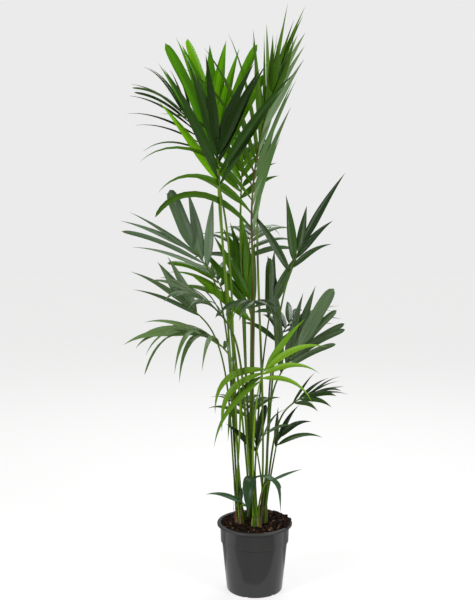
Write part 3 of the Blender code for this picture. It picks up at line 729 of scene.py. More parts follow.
FRONDS = [
    Frond("top_left_front", "left", (-0.108, -0.050, 1.280), 250, 83, 0.15, 10, 0, 5, 0.027, 8,
          Side((38, 22), 0.38, (12, 12), 0.60), Side((30, 6), 0.35, (12, 12), 0.62), "deep", 1),
    Frond("top_left_back", "back", (-0.115, 0.040, 1.290), 110, 84, 0.25, 14, 0, 7, 0.034, 8,
          Side((34, 8), 0.34, (10, 10), 0.75), Side((46, 2), 0.37, (10, 10), 0.66), "bright", 2),
    Frond("top_centre", "back", (-0.010, 0.000, 1.120), 10, 92, 0.50, 24, -60, 13, 0.024, 15,
          Side((24, 10), 0.33, (10, 5), 0.60, 0.8, 165), Side((55, 0), 0.40, (125, -60), 0.28, 0.9),
          "bright", 3),
    Frond("top_right", "right", (0.012, 0.100, 1.300), 15, 86, 0.35, 10, 20, 8, 0.019, 20,
          Side((18, 3), 0.29, (15, 8), 0.80), Side((16, 2), 0.27, (15, 8), 0.80), "fresh", 4),
    Frond("top_left_outer", "left", (-0.148, 0.060, 1.385), 165, 64, 0.18, 12, -40, 7, 0.010, 10,
          Side((58, 16), 0.23, (45, 35)), Side((50, 12), 0.24, (45, 35)), "deep", 5),
    Frond("upper_left", "left", (-0.140, 0.030, 1.015), 185, 62, 0.10, 16, -75, 4, 0.038, 5,
          Side((36, 12), 0.275, (24, 14), 0.9, 0.46), Side((50, 2), 0.22, (10, 6), 0.95), "grey", 6),
    Frond("middle_left", "left", (-0.165, -0.020, 0.880), 185, 46, 0.06, 10, -75, 2, 0.035, 5,
          Side((24, -10), 0.245, (26, 12), 0.95, 0.5), Side((48, 8), 0.20, (10, 10), 0.95), "grey", 7),
    Frond("weeping_left", "left", (-0.090, -0.100, 0.790), 195, 50, 0.12, 45, 0, 6, 0.025, 5,
          Side((72, 36), 0.35, (110, 80), 0.74, 1.0, 25), Side((50, 10), 0.23, (60, 55), 0.9, 0.9, -55),
          "fresh", 8),
    Frond("weeping_front", "front", (-0.070, -0.070, 0.840), 205, 62, 0.20, 40, -20, 6, 0.022, 10,
          Side((60, 20), 0.17, (60, 60)), Side((60, 20), 0.17, (60, 60)), "grey", 9),
    Frond("arching_front", "front", (-0.004, -0.072, 0.900), 270, 62, 0.09, 60, 0, 4, 0.026, 5,
          Side((80, 30), 0.12, (120, 90)), Side((80, 30), 0.14, (120, 90)), "grey", 27),
    Frond("inner_centre", "back", (-0.012, 0.050, 0.850), 95, 88, 0.13, 10, 0, 4, 0.036, 5,
          Side((56, 0), 0.27, (6, 6), 0.9), Side((4, -4), 0.25, (6, 6), 0.9), "middle", 10),
    Frond("upper_right", "right", (0.104, -0.020, 1.010), 350, 72, 0.10, 6, 75, 3, 0.030, 5,
          Side((58, 8), 0.25, (14, 6), 0.3), Side((46, 0), 0.145, (60, 6), 2.0, 0.8), "dark", 11),
    Frond("inner_right", "back", (0.045, 0.100, 0.850), 30, 79, 0.08, 6, 60, 2, 0.036, 10,
          Side((14, 0), 0.21, (10, 10)), Side((4, -4), 0.21, (10, 10)), "dark", 12),
    Frond("middle_right", "right", (0.078, 0.020, 0.690), 355, 62, 0.11, 20, 70, 4, 0.038, 5,
          Side((42, 10), 0.235, (12, 8), 0.95), Side((38, 0), 0.205, (24, 14), 0.9, 0.55), "grey", 13),
    Frond("weeping_right", "right", (0.110, -0.030, 0.605), 345, 42, 0.10, 25, 20, 5, 0.025, 5,
          Side((56, 8), 0.14, (30, 30)), Side((60, 14), 0.15, (30, 40)), "dark", 14),
    Frond("young_front", "front", (0.014, -0.080, 0.690), 355, 78, 0.05, 20, 65, 4, 0.021, 10,
          Side((160, 120), 0.28, (80, 110), 0.8), Side((86, 0), 0.205, (105, 15), 1.05), "lime", 15),
    Frond("low_centre", "right", (0.010, 0.030, 0.430), 150, 80, 0.06, 10, -30, 2, 0.026, 5,
          Side((54, 20), 0.19, (10, 10)), Side((45, 8), 0.15, (10, 10)), "dark", 16),
    Frond("low_right", "right", (0.066, 0.020, 0.445), 30, 78, 0.05, 10, 30, 2, 0.018, 5,
          Side((12, 5), 0.14, (25, 25)), Side((58, 30), 0.17, (75, 50)), "dark", 17),
    Frond("low_front", "front", (0.020, -0.060, 0.505), 0, 60, 0.03, 20, 60, 1, 0.010, 5,
          Side((30, 5), 0.12, (60, 60)), Side((30, 5), 0.12, (60, 60)), "grey", 18),
    Frond("foot_front", "front", (-0.004, -0.085, 0.391), 280, 34, 0.012, 20, 0, 1, 0.044, 5,
          Side((38, 38), 0.19, (190, 190), 0.74, 0.9, 20),
          Side((24, 24), 0.215, (250, 250), 0.74, 0.95, -30), "deep", 19),
    Frond("foot_left", "left", (-0.034, -0.045, 0.292), 190, 50, 0.02, 20, -60, 1, 0.022, 5,
          Side((8, 8), 0.125, (40, 40)), Side((60, 60), 0.06, (50, 50), 0.74, 0.7), "deep", 20),
    Frond("foot_right", "front", (0.044, -0.025, 0.358), 350, 34, 0.02, 20, 50, 1, 0.012, 5,
          Side((4, 4), 0.11, (10, 10)), Side((40, 40), 0.05, (60, 60)), "deep", 21),
    Frond("top_back", "back", (-0.045, 0.110, 1.220), 85, 74, 0.22, 30, 0, 6, 0.026, 5,
          Side((50, 12), 0.20, (30, 20)), Side((50, 12), 0.15, (30, 20)), "middle", 26),
    Frond("back_top", "back", (-0.025, 0.160, 1.035), 80, 60, 0.18, 45, 0, 6, 0.022, 5,
          Side((70, 20), 0.20, (60, 60)), Side((70, 20), 0.20, (60, 60)), "grey", 22),
    Frond("back_left", "left", (-0.095, 0.130, 0.920), 120, 60, 0.14, 40, 0, 5, 0.024, 5,
          Side((65, 20), 0.20, (40, 40)), Side((65, 20), 0.20, (40, 40)), "middle", 23),
    Frond("back_right", "right", (0.075, 0.130, 0.770), 50, 58, 0.14, 40, 0, 5, 0.024, 5,
          Side((65, 20), 0.19, (40, 40)), Side((65, 20), 0.19, (40, 40)), "dark", 24),
    Frond("back_low", "back", (-0.015, 0.120, 0.525), 100, 50, 0.10, 40, 0, 4, 0.024, 5,
          Side((65, 20), 0.16, (50, 50)), Side((65, 20), 0.16, (50, 50)), "dark", 25),
]


def ring_places(stem):
    """Where stalks can stand on a stem's top: one place in the middle and a ring of them round it."""
    _, _, top, axis = stem_axis(stem)
    across = axis.cross(Vector((0, 1, 0))).normalized()
    along = axis.cross(across).normalized()
    middle = top + axis * SOIL_GAP
    places = [middle]
    for i in range(RING_SLOTS):
        angle = 2 * math.pi * i / RING_SLOTS
        places.append(middle + (across * math.cos(angle) + along * math.sin(angle)) * SLOT_RING_RADIUS)
    return places


def compass(heading, rise):
    """The direction at a heading in plan and a rise above level."""
    heading = math.radians(heading)
    rise = math.radians(rise)
    level = math.cos(rise)
    return Vector((math.cos(heading) * level, math.sin(heading) * level, math.sin(rise)))


def turned_about(vector, axis, angle):
    return Matrix.Rotation(angle, 3, axis) @ vector


def stalk_radius(frond):
    """Radius of a stalk at its thickest, which grows with the rib that it carries."""
    return STALK_LEAST_RADIUS + STALK_GROWTH * min(frond.rib, LONGEST_RIB_COUNTED)


def stalk_line(frond, foot, axis, bow, steps):
    """Points and radii of a stalk that leaves its stem along the axis and ends along the rib."""
    end = compass(frond.heading, frond.rise)
    start = foot + axis * HIP_LEAD
    tip = Vector(frond.hip) - end * HIP_LEAD
    span = (tip - start).length
    out = (axis * STEM_PULL + (tip - start).normalized() * HIP_PULL).normalized() * span
    into = end * span * RIB_PULL
    points = [foot]
    for i in range(steps + 1):
        t = i / steps
        point = start * (2 * t**3 - 3 * t**2 + 1) + out * (t**3 - 2 * t**2 + t)
        point += tip * (3 * t**2 - 2 * t**3) + into * (t**3 - t**2)
        points.append(point + bow * math.sin(math.pi * t))
    points.append(Vector(frond.hip))
    thick = stalk_radius(frond)
    radii = [STALK_FOOT_RADIUS] * 2
    for i in range(1, len(points) - 2):
        t = i / (len(points) - 3)
        swell = min(1.0, STALK_SWELL * t)
        radii.append(STALK_FOOT_RADIUS + (thick - STALK_FOOT_RADIUS) * swell - STALK_TAPER * t)
    radii.append(radii[-1])
    return points, radii


def spread_apart(line, others):
    """Whether a stalk keeps clear of every stalk placed before it."""
    points, radii = line
    for starts, edges, widths in others:
        gaps = points[:, None, :] - starts[None, :, :]
        share = np.clip((gaps * edges).sum(2) / (edges * edges).sum(1), 0, 1)
        distance = np.linalg.norm(gaps - share[:, :, None] * edges, axis=2)
        if (distance < radii[:, None] + widths[None, :] + CLEARANCE).any():
            return False
    return True


def clear_stalk(frond, axis, free, placed):
    """The free place, and the least sideways bow, with which a stalk passes all the others."""
    away = Vector(frond.hip) - free[0]
    nearest = sorted(free, key=lambda place: -(place - free[0]).dot(away))
    for size in BOW_SIZES:
        for turn in range(BOW_HEADINGS if size else 1):
            bow = compass(360 * turn / BOW_HEADINGS, 0) * size
            for place in nearest:
                points, radii = stalk_line(frond, place, axis, bow, SPACING_STEPS)
                points = np.array(points)
                radii = np.array(radii)
                if spread_apart((points, radii), placed):
                    placed.append((points[:-1], np.diff(points, axis=0), radii[:-1]))
                    free.remove(place)
                    return place, bow
    raise ValueError("no clear way for the stalk of " + frond.name)


def rib_line(frond):
    """Point, direction and upper-face normal at stations along a rib."""
    step = frond.rib / RIB_STATIONS
    point = Vector(frond.hip) + compass(frond.heading, frond.rise) * SOIL_GAP
    line = []
    for i in range(RIB_STATIONS + 1):
        rise = frond.rise - frond.arch * i / RIB_STATIONS
        along = compass(frond.heading, rise)
        normal = turned_about(compass(frond.heading, rise + 90), along, math.radians(frond.roll))
        line.append((point.copy(), along, normal))
        point += along * step
    return line


def place_on(line, share):
    """Point, direction and normal at a share of the way along a line."""
    place = share * (len(line) - 1)
    i = min(int(place), len(line) - 2)
    a, b = line[i], line[i + 1]
    return (
        a[0].lerp(b[0], place - i),
        a[1].lerp(b[1], place - i).normalized(),
        a[2].lerp(b[2], place - i).normalized(),
    )


STALK_SHADES = {
    "deep": ((0.05, 0.11, 0.002), (0.09, 0.18, 0.003), (0.14, 0.26, 0.008)),
    "fresh": ((0.06, 0.13, 0.002), (0.11, 0.22, 0.003), (0.17, 0.31, 0.010)),
    "lime": ((0.10, 0.22, 0.004), (0.17, 0.33, 0.007), (0.24, 0.42, 0.020)),
    "bright": ((0.07, 0.15, 0.002), (0.13, 0.26, 0.004), (0.20, 0.35, 0.012)),
    "middle": ((0.05, 0.11, 0.002), (0.09, 0.18, 0.003), (0.14, 0.26, 0.008)),
    "dark": ((0.03, 0.07, 0.002), (0.06, 0.125, 0.003), (0.10, 0.18, 0.008)),
    "grey": ((0.04, 0.085, 0.003), (0.075, 0.15, 0.004), (0.12, 0.21, 0.012)),
    "scurfy": ((0.045, 0.024, 0.006), (0.085, 0.050, 0.008), (0.10, 0.12, 0.008)),
}
SCURFY_STALKS = ("top_centre",)
SCURFY_RELIEF = 0.5
SMOOTH_RELIEF = 0.2

CLASP_STEPS = 8
CLASP_RADIUS_AT_SOIL = 0.0037
CLASP_REACH_AT_SOIL = 0.0132
MIDDLE_PLACE_REACH = 0.001


def clasping_base(stem, place, radius):
    """Points and radii of the base of a stalk, which runs up the side of its stem from the soil. The stalk
    in the middle of a stem's top has none."""
    foot, _, top, axis = stem_axis(stem)
    foot = foot - UP * STEM_FOOT_SUNK
    away = place - top
    away = away - axis * away.dot(axis)
    if away.length < MIDDLE_PLACE_REACH:
        return [], []
    points = []
    radii = []
    for i in range(CLASP_STEPS):
        share = i / CLASP_STEPS
        reach = CLASP_REACH_AT_SOIL + (away.length - CLASP_REACH_AT_SOIL) * share**2
        points.append(foot.lerp(top, share) + away.normalized() * reach)
        radii.append(CLASP_RADIUS_AT_SOIL + (radius - CLASP_RADIUS_AT_SOIL) * share)
    return points, radii


stalk_finishes = {}
for tint, (low, middle, high) in STALK_SHADES.items():
    skin, skin_shader, skin_tree = new_material("stalk_" + tint, middle, 0.42)
    streaks = speckle(skin_tree, 90, (1, 1, 0.08))
    shades(skin_tree, skin_shader, streaks, ((0.3, low), (0.5, middle), (0.72, high)))
    scurf = speckle(skin_tree, 700, (1, 1, 0.25))
    relief(skin_tree, skin_shader, scurf, 0.0004, SCURFY_RELIEF if tint == "scurfy" else SMOOTH_RELIEF)
    skin_shader.inputs["Specular IOR Level"].default_value = 0.3
    stalk_finishes[tint] = skin

stalk_courses = []
for stem_name, stem in STEMS.items():
    _, _, top, axis = stem_axis(stem)
    free = ring_places(stem)
    carried = [frond for frond in FRONDS if frond.stem == stem_name]
    for frond in sorted(carried, key=lambda f: -(Vector(f.hip) - top).angle(axis)):
        place, bow = clear_stalk(frond, axis, free, stalk_courses)
        points, radii = stalk_line(frond, place, axis, bow, FINE_STALK_STEPS)
        for i in range(len(radii)):
            radii[i] += SHEATHED_FOOT * max(0.0, 1 - SHEATHED_TAPER_RATE * i / len(radii))
        base_points, base_radii = clasping_base(stem, place, radii[0])
        points = base_points + points
        radii = base_radii + radii
        rib = rib_line(frond)
        hip_radius = radii[-1]
        for i in range(1, FINE_RIB_STEPS + 1):
            share = i / FINE_RIB_STEPS
            points.append(place_on(rib, share)[0])
            radii.append(hip_radius * (1 - RIB_TAPER * share))
        stalk = rod("leafstalk_" + frond.name, points, radii, 3)
        smooth_by_angle(stalk, 60)
        tint = "scurfy" if frond.name in SCURFY_STALKS else frond.tint
        stalk.data.materials.append(stalk_finishes[tint])
        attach(stalk, "root")
        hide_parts("stalk_" + frond.name)


# The leaf bases: each old leaf leaves a sheath wrapped round its stem. Young ones are green and fit closely,
# and old ones are dry brown fibre that stands a little away, torn at the top.

SHEATH_ROWS = 18
SHEATH_WALL = 0.0009
SHEATH_SUNK = 0.006
GREEN_COLUMNS = 11
DRY_COLUMNS = 15
SHORTEST_STRIP = 0.55
TORN_FROM = 0.5
NARROWING_POWER = 0.8
CORNER_ROUNDING = 0.22
DRY_EDGE_LIFT = 0.0012
SHEATH_CRUMPLE = 0.0006


@dataclass
class Sheath:
    """A leaf base: heights above the soil, the way it faces, and the degrees it wraps and its distance
    from the stem's axis, each at its foot and at its top."""

    stem: str
    high: float
    heading: float
    wrap: tuple
    out: tuple
    finish: str
    seed: int


SHEATHS = (
    Sheath("left", 0.150, 222, (38, 8), (0.0192, 0.0150), "dry_sheath", 3),
    Sheath("left", 0.085, 190, (50, 12), (0.0190, 0.0195), "dry_sheath", 4),
    Sheath("left", 0.055, 262, (34, 10), (0.0188, 0.0190), "dry_sheath", 16),
    Sheath("left", 0.095, 80, (90, 36), (0.0188, 0.0150), "green_sheath", 2),
    Sheath("front", 0.040, 312, (36, 10), (0.0190, 0.0190), "dry_sheath", 8),
    Sheath("front", 0.070, 110, (90, 40), (0.0188, 0.0150), "green_sheath", 7),
    Sheath("right", 0.170, 240, (34, 8), (0.0192, 0.0150), "dry_sheath", 11),
    Sheath("right", 0.090, 205, (40, 12), (0.0190, 0.0195), "dry_sheath", 12),
    Sheath("right", 0.080, 60, (90, 40), (0.0188, 0.0150), "green_sheath", 10),
    Sheath("back", 0.110, 130, (80, 24), (0.0190, 0.0180), "dry_sheath", 15),
    Sheath("back", 0.085, 20, (90, 36), (0.0188, 0.0150), "green_sheath", 14),
)

sheath_finishes = {}
for name, low, high, depth in (
    ("green_sheath", (0.05, 0.10, 0.004), (0.11, 0.20, 0.010), 0.5),
    ("dry_sheath", (0.022, 0.010, 0.006), (0.26, 0.135, 0.085), 1.0),
):
    husk, husk_shader, husk_tree = new_material(name, high, 0.75)
    husk_shader.inputs["Specular IOR Level"].default_value = 0.2
    fibres = speckle(husk_tree, 420, (1, 1, 0.05))
    shades(husk_tree, husk_shader, fibres, ((0.32, low), (0.66, high)))
    relief(husk_tree, husk_shader, fibres, 0.0010, depth)
    sheath_finishes[name] = husk



def sheath_surface(sheath, columns, strips, edge_lift):
    """Points and faces of a leaf base. Each strip up its side reaches a share of its height."""
    foot, neck, _, axis = stem_axis(STEMS[sheath.stem])
    neck_rise = neck.z - foot.z
    points = []
    for row in range(SHEATH_ROWS):
        share = row / (SHEATH_ROWS - 1)
        wrap = sheath.wrap[0] + (sheath.wrap[1] - sheath.wrap[0]) * share**NARROWING_POWER
        out = sheath.out[0] + (sheath.out[1] - sheath.out[0]) * share
        for column in range(columns):
            across = 2 * column / (columns - 1) - 1
            strip = (1 - CORNER_ROUNDING * across**2) * strips[column]
            kept = strip if share > TORN_FROM else 1 - (1 - strip) * share / TORN_FROM
            height = sheath.high * share * kept - SHEATH_SUNK
            if height < neck_rise:
                centre = foot + UP * height
            else:
                centre = neck + axis * (height - neck_rise)
            crumple = noise.noise(Vector((across * 2 + sheath.seed, share * 3, sheath.seed)))
            lifted = out + edge_lift * across**4 + SHEATH_CRUMPLE * crumple
            points.append(centre + compass(sheath.heading + wrap / 2 * across, 0) * lifted)
    faces = []
    for row in range(SHEATH_ROWS - 1):
        for column in range(columns - 1):
            a = row * columns + column
            faces.append((a, a + 1, a + columns + 1, a + columns))
    return points, faces


for sheath in SHEATHS:
    chance = random.Random(sheath.seed)
    if sheath.finish == "dry_sheath":
        strips = [chance.uniform(SHORTEST_STRIP, 1.0) for _ in range(DRY_COLUMNS)]
        points, faces = sheath_surface(sheath, DRY_COLUMNS, strips, DRY_EDGE_LIFT)
    else:
        points, faces = sheath_surface(sheath, GREEN_COLUMNS, [1.0] * GREEN_COLUMNS, 0)
    piece = mesh_piece(f"leaf_base_{sheath.stem}_{sheath.seed}", points, faces)
    wall = piece.modifiers.new("wall", "SOLIDIFY")
    wall.thickness = SHEATH_WALL
    wall.offset = 0
    apply_modifiers(piece)
    smooth_by_angle(piece, 60)
    piece.data.materials.append(sheath_finishes[sheath.finish])
    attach(piece, "root")


# The leaflets: long pleated blades in pairs along each rib, folded down from a raised midrib, paler below
# and drawn out to a thin tip. Each frond's leaflets are one joined mesh, laid out by the rule of the solid
# frond: a leaflet is turned aside, or left out, where it would touch another piece.

RIB_FIRST_STEP = 0.002
LONG_RIB = 0.15
LONG_RIB_STEPS = 6
SHORT_RIB_STEPS = 3
LINE_STATIONS = 24
LEAST_THICKNESS = 0.0028
SLENDERNESS = 95
SAG_POWER = 0.8
UPRIGHT_SAG_SHARE = 0.35
PAIR_STAGGER = 0.22
PAIR_POWER = 0.9
FAN_POWER = 0.8
TIP_WIDENING = 0.35
BASE_WIDTH_SHARE = 0.8
CREST_START = 0.35
RIDGE_AT_FOOT = 0.45
RIDGE_RISE = 2
RIDGE_AT_TIP = 0.3
RIDGE_FALL = 1.6
LEVEL_ENOUGH = 1e-6
OPENING_CHANCE = 5
LIFT_CHANCE = 6
TWIST_CHANCE = 14
LENGTH_CHANCE = 0.09
WIDTH_CHANCE = 0.1
SAG_CHANCE = 0.3
TURN_SIZES = (6, 12, 18, 25)
TURN_WAYS = ((0, 1), (1, 0), (0, -1), (-1, 0), (1, 1), (-1, 1), (1, -1), (-1, -1))
SOLID_OUTLINE = (
    (0, 0.22),
    (0.08, 0.5),
    (0.22, 0.85),
    (0.4, 1),
    (0.6, 0.86),
    (0.8, 0.52),
    (0.93, 0.2),
    (1, 0.02),
)
STATIONS_BY_SAG = (
    (20, (0, 0.14, 0.5, 1)),
    (50, (0, 0.12, 0.4, 0.72, 1)),
    (math.inf, (0, 0.12, 0.32, 0.54, 0.78, 1)),
)


def leaflet_line(start, along, normal, length, sag):
    """Stations along a leaflet that bends down under its own weight, more towards its tip."""
    line = [(start.copy(), along, normal)]
    point = start.copy()
    for i in range(LINE_STATIONS):
        axis = along.cross(-UP)
        level = axis.length
        if level > LEVEL_ENOUGH:
            share = (i + 0.5) / LINE_STATIONS
            angle = sag * share**SAG_POWER * (SAG_POWER + 1) / LINE_STATIONS
            if along.z < 0:
                angle = min(angle, math.asin(min(1.0, level)))
            angle *= min(1.0, UPRIGHT_SAG_SHARE + level)
            along = turned_about(along, axis, angle)
            normal = turned_about(normal, axis, angle)
        point = point + along * (length / LINE_STATIONS)
        line.append((point.copy(), along, normal))
    return line


def outline_share(share):
    """Half-width of a solid leaflet, as a share of its widest, at a share of its length."""
    for (a, low), (b, high) in zip(SOLID_OUTLINE, SOLID_OUTLINE[1:]):
        if share <= b:
            return low + (high - low) * (share - a) / (b - a)
    return SOLID_OUTLINE[-1][1]


def solid_blade(line, width, thickness, stations, margin=0.0):
    """Points and faces of a leaflet of the solid frond: flat below, ridged above, and pointed at its tip."""
    points = []
    for share in stations[:-1]:
        point, along, normal = place_on(line, share)
        across = along.cross(normal)
        half = width / 2 * outline_share(share) + margin
        ridge = min(1.0, RIDGE_AT_FOOT + RIDGE_RISE * share, RIDGE_AT_TIP + RIDGE_FALL * (1 - share))
        ridge *= thickness
        points.append(point - across * half - normal * margin)
        points.append(point + across * half - normal * margin)
        points.append(point + normal * (ridge + margin))
    tip, along, _ = place_on(line, 1.0)
    points.append(tip + along * margin)
    last = len(stations) - 2
    faces = [(0, 1, 2)]
    for i in range(last):
        for a, b in ((0, 1), (1, 2), (2, 0)):
            faces.append((3 * i + a, 3 * i + 3 + a, 3 * i + 3 + b, 3 * i + b))
    end = len(points) - 1
    for a, b in ((0, 1), (1, 2), (2, 0)):
        faces.append((3 * last + a, end, 3 * last + b))
    return points, faces


def stations_for(sag):
    """Shares of a leaflet's length with a section: more of them on one that bends further."""
    return next(stations for most, stations in STATIONS_BY_SAG if sag < most)


def spread(chance, size):
    """A random amount, up to a size either way."""
    return chance.uniform(-size, size)


def leaflet_plan(frond):
    """Each leaflet of a frond before it is fitted in: where it starts, how it points and its sizes."""
    chance = random.Random(frond.seed)
    line = rib_line(frond)
    plan = []
    for pair in range(frond.pairs):
        for hand, side in ((-1, frond.left), (1, frond.right)):
            share = min(1.0, ((pair + 0.5 + PAIR_STAGGER * hand) / frond.pairs) ** PAIR_POWER)
            fan = share**FAN_POWER
            first, last = side.opening
            opening = first + (last - first) * fan + spread(chance, OPENING_CHANCE)
            lift = frond.lift + spread(chance, LIFT_CHANCE)
            twist = side.twist + spread(chance, TWIST_CHANCE)
            crest = math.sin(math.pi * min(1, CREST_START + (1 - CREST_START) * share))
            taper = side.last_share + (1 - side.last_share) * crest
            length = side.length * taper * (1 + spread(chance, LENGTH_CHANCE))
            width = frond.width * side.breadth * (BASE_WIDTH_SHARE + TIP_WIDENING * share)
            width *= 1 + spread(chance, WIDTH_CHANCE)
            sag = side.sag[0] + (side.sag[1] - side.sag[0]) * share
            sag *= 1 + spread(chance, SAG_CHANCE)
            plan.append((place_on(line, share), hand, opening, lift, twist, length, width, sag))
    return plan


def pointed(leaflet, more_opening, more_lift):
    """The line of a leaflet, turned by some degrees from its plan."""
    (point, along, normal), hand, opening, lift, twist, length, _, sag = leaflet
    opening = math.radians(opening + more_opening)
    lift = math.radians(lift + more_lift)
    across = along.cross(normal) * hand
    aim = along * math.cos(opening)
    aim += (across * math.cos(lift) + normal * math.sin(lift)) * math.sin(opening)
    aim.normalize()
    face = (normal - aim * normal.dot(aim)).normalized()
    face = turned_about(face, aim, math.radians(twist))
    return leaflet_line(point, aim, face, length, math.radians(sag))


def ways_to_turn():
    """Degrees to add to a leaflet's opening and lift, the least first."""
    yield 0, 0
    for size in TURN_SIZES:
        for opening, lift in TURN_WAYS:
            yield size * opening, 2 * size * lift


def tree_of(points, faces):
    return BVHTree.FromPolygons(points, faces)


def tree_of_mesh(mesh):
    points = [vertex.co for vertex in mesh.vertices]
    return tree_of(points, [tuple(face.vertices) for face in mesh.polygons])


def fitted_leaflets(frond, obstacles):
    """The frond's leaflets that can keep clear of every other piece, each with its line, hand and sizes."""
    kept = []
    own = []
    for leaflet in leaflet_plan(frond):
        _, hand, _, _, _, length, width, sag = leaflet
        thickness = max(length / SLENDERNESS, LEAST_THICKNESS)
        stations = stations_for(sag)
        for more_opening, more_lift in ways_to_turn():
            line = pointed(leaflet, more_opening, more_lift)
            whole = tree_of(*solid_blade(line, width, thickness, stations, CLEARANCE))
            if any(whole.overlap(other) for other in obstacles):
                continue
            outer = tree_of(*solid_blade(line, width, thickness, stations[1:], CLEARANCE))
            if any(outer.overlap(other) for other in own):
                continue
            kept.append((line, hand, length, width, thickness, stations))
            own.append(tree_of(*solid_blade(line, width, thickness, stations[1:])))
            break
    return kept


def solid_rib(frond):
    """The plain rib of the solid frond, kept only while leaflets are fitted round it."""
    line = rib_line(frond)
    thick = stalk_radius(frond) - STALK_TAPER
    count = LONG_RIB_STEPS if frond.rib > LONG_RIB else SHORT_RIB_STEPS
    shares = [i / count for i in range(count + 1)]
    points = [place_on(line, share)[0] for share in shares]
    points.insert(1, points[0] + line[0][1] * RIB_FIRST_STEP)
    radii = [thick * (1 - RIB_TAPER * share) for share in shares]
    radii.insert(1, radii[0])
    rib = rod("solid_rib", points, radii, 0)
    tree = tree_of_mesh(rib.data)
    bpy.data.objects.remove(rib, do_unlink=True)
    return tree


BLADE_ROWS = (0, 0.02, 0.05, 0.10, 0.16, 0.24, 0.33, 0.42, 0.51, 0.60, 0.69, 0.77, 0.85, 0.91, 0.96, 1)
NARROW_BLADE = 0.016
NARROW_BLADE_CUTS = 2
BROAD_BLADE_CUTS = 4
LEAST_HALF_WIDTH = 0.0006
WIDEST_AT = 0.36
FOOT_BREADTH = 0.2
SHOULDER_POWER = 0.7
TIP_POWER = 1.5
TIP_FINENESS = 1.15
BLUNT_SHARES = {"middle_right": 0.45, "upper_left": 0.35, "top_left_back": 0.2, "inner_right": 0.3}
OTHER_BLUNT_SHARE = 0.04
BLUNT_FOOT_BREADTH = 0.22
BLUNT_WIDENING = 0.38
BLUNT_SHOULDER_POWER = 0.8
WORN_FROM = 0.70
BLADE_WALL = 0.0011
WALL_THINNING = 0.6
FOOT_WALL = 0.0014
FOOT_WALL_REACH = 0.08
FOLD_AT_BASE = 62
FOLD_BEYOND = 15
FOLD_REACH = 0.12
FOLD_POWER = 1.25
PLEAT_DEPTH = 0.045
PLEAT_RISE = 5
PLEAT_FALL = 4
CURL_CHANCE = 26
SWEEP_CHANCE = 0.022
DRY_TIP_SHARE = 0.3
DRY_TIP_FROM = 0.95


def outline(share, blunt):
    """Half-width of a fine leaflet, as a share of its widest: like a lance, or blunt with a worn tip."""
    if blunt:
        worn = max(0.0, (share - WORN_FROM) / (1 - WORN_FROM))
        shoulder = min(1.0, BLUNT_FOOT_BREADTH + share / BLUNT_WIDENING) ** BLUNT_SHOULDER_POWER
        return shoulder * math.sqrt(max(0.0, 1 - worn**3))
    if share < WIDEST_AT:
        shoulder = math.sin(math.pi / 2 * share / WIDEST_AT) ** SHOULDER_POWER
        return FOOT_BREADTH + (1 - FOOT_BREADTH) * shoulder
    beyond = (share - WIDEST_AT) / (1 - WIDEST_AT)
    return (1 - beyond**TIP_POWER) ** TIP_FINENESS


def pleat_side(column):
    """How far a line along the blade stands up, 1, or down, -1, for the pleats. The midrib is half up."""
    if column == 0:
        return 0.5
    return -1.0 if column % 2 else 1.0


def fine_blade(line, length, width, chance, blunt):
    """Points, faces, the share of the length of each face, whether it is on the upper side, and the
    place across and along of each point."""
    cuts = NARROW_BLADE_CUTS if width < NARROW_BLADE else BROAD_BLADE_CUTS
    sides = 4 * cuts
    curl = math.radians(spread(chance, CURL_CHANCE))
    sweep = spread(chance, SWEEP_CHANCE) * length
    points, places = [], []
    for share in BLADE_ROWS[:-1]:
        point, along, normal = place_on(line, share)
        normal = turned_about(normal, along, curl * share)
        across = along.cross(normal)
        point = point + across * sweep * share**2
        half = max(width / 2 * outline(share, blunt), LEAST_HALF_WIDTH)
        folded = max(0.0, 1 - share / FOLD_REACH)
        fold = math.radians(FOLD_BEYOND + (FOLD_AT_BASE - FOLD_BEYOND) * folded)
        pleat = 0.0
        if cuts == BROAD_BLADE_CUTS:
            pleat = PLEAT_DEPTH * half * min(1.0, PLEAT_RISE * share, PLEAT_FALL * (1 - share))
        wall = BLADE_WALL * (1 - WALL_THINNING * share) + FOOT_WALL * max(0.0, 1 - share / FOOT_WALL_REACH)
        for step in range(sides):
            upper = step <= 2 * cuts
            column = step - cuts if upper else 3 * cuts - step
            place = column / cuts
            reach = abs(place)
            drop = half * (math.tan(fold) * reach**FOLD_POWER * math.cos(fold))
            ripple = pleat * pleat_side(column) * (1 - reach**3)
            thick = wall / 2 * (1 - reach**2) * (1 if upper else -1)
            flat = half * place * (1 - 0.5 * math.sin(fold) ** 2)
            points.append(point + across * flat + normal * (ripple + thick - drop))
            places.append(((place + 1) / 2, share))
    tip, along, normal = place_on(line, 1.0)
    across = along.cross(turned_about(normal, along, curl))
    points.append(tip + across * sweep)
    places.append((0.5, 1.0))
    faces = [tuple(reversed(range(sides)))]
    shares = [0.0]
    uppers = [False]
    rows = len(BLADE_ROWS) - 1
    for row in range(rows):
        for step in range(sides):
            a = row * sides + step
            b = row * sides + (step + 1) % sides
            if row == rows - 1:
                faces.append((a, b, len(points) - 1))
            else:
                faces.append((a, b, b + sides, a + sides))
            shares.append((BLADE_ROWS[row] + BLADE_ROWS[row + 1]) / 2)
            uppers.append(step < 2 * cuts)
    return points, faces, shares, uppers, places


VEIN_STRETCH = (22, 1.4, 1)
VEIN_DARK = 0.7
VEIN_LIGHT = 1.34
LEAF_SHEEN = 0.14
WAXY_SHEEN = 0.34
UPPER_ROUGHNESS = 0.38
UNDER_ROUGHNESS = 0.55
DRY_ROUGHNESS = 0.7


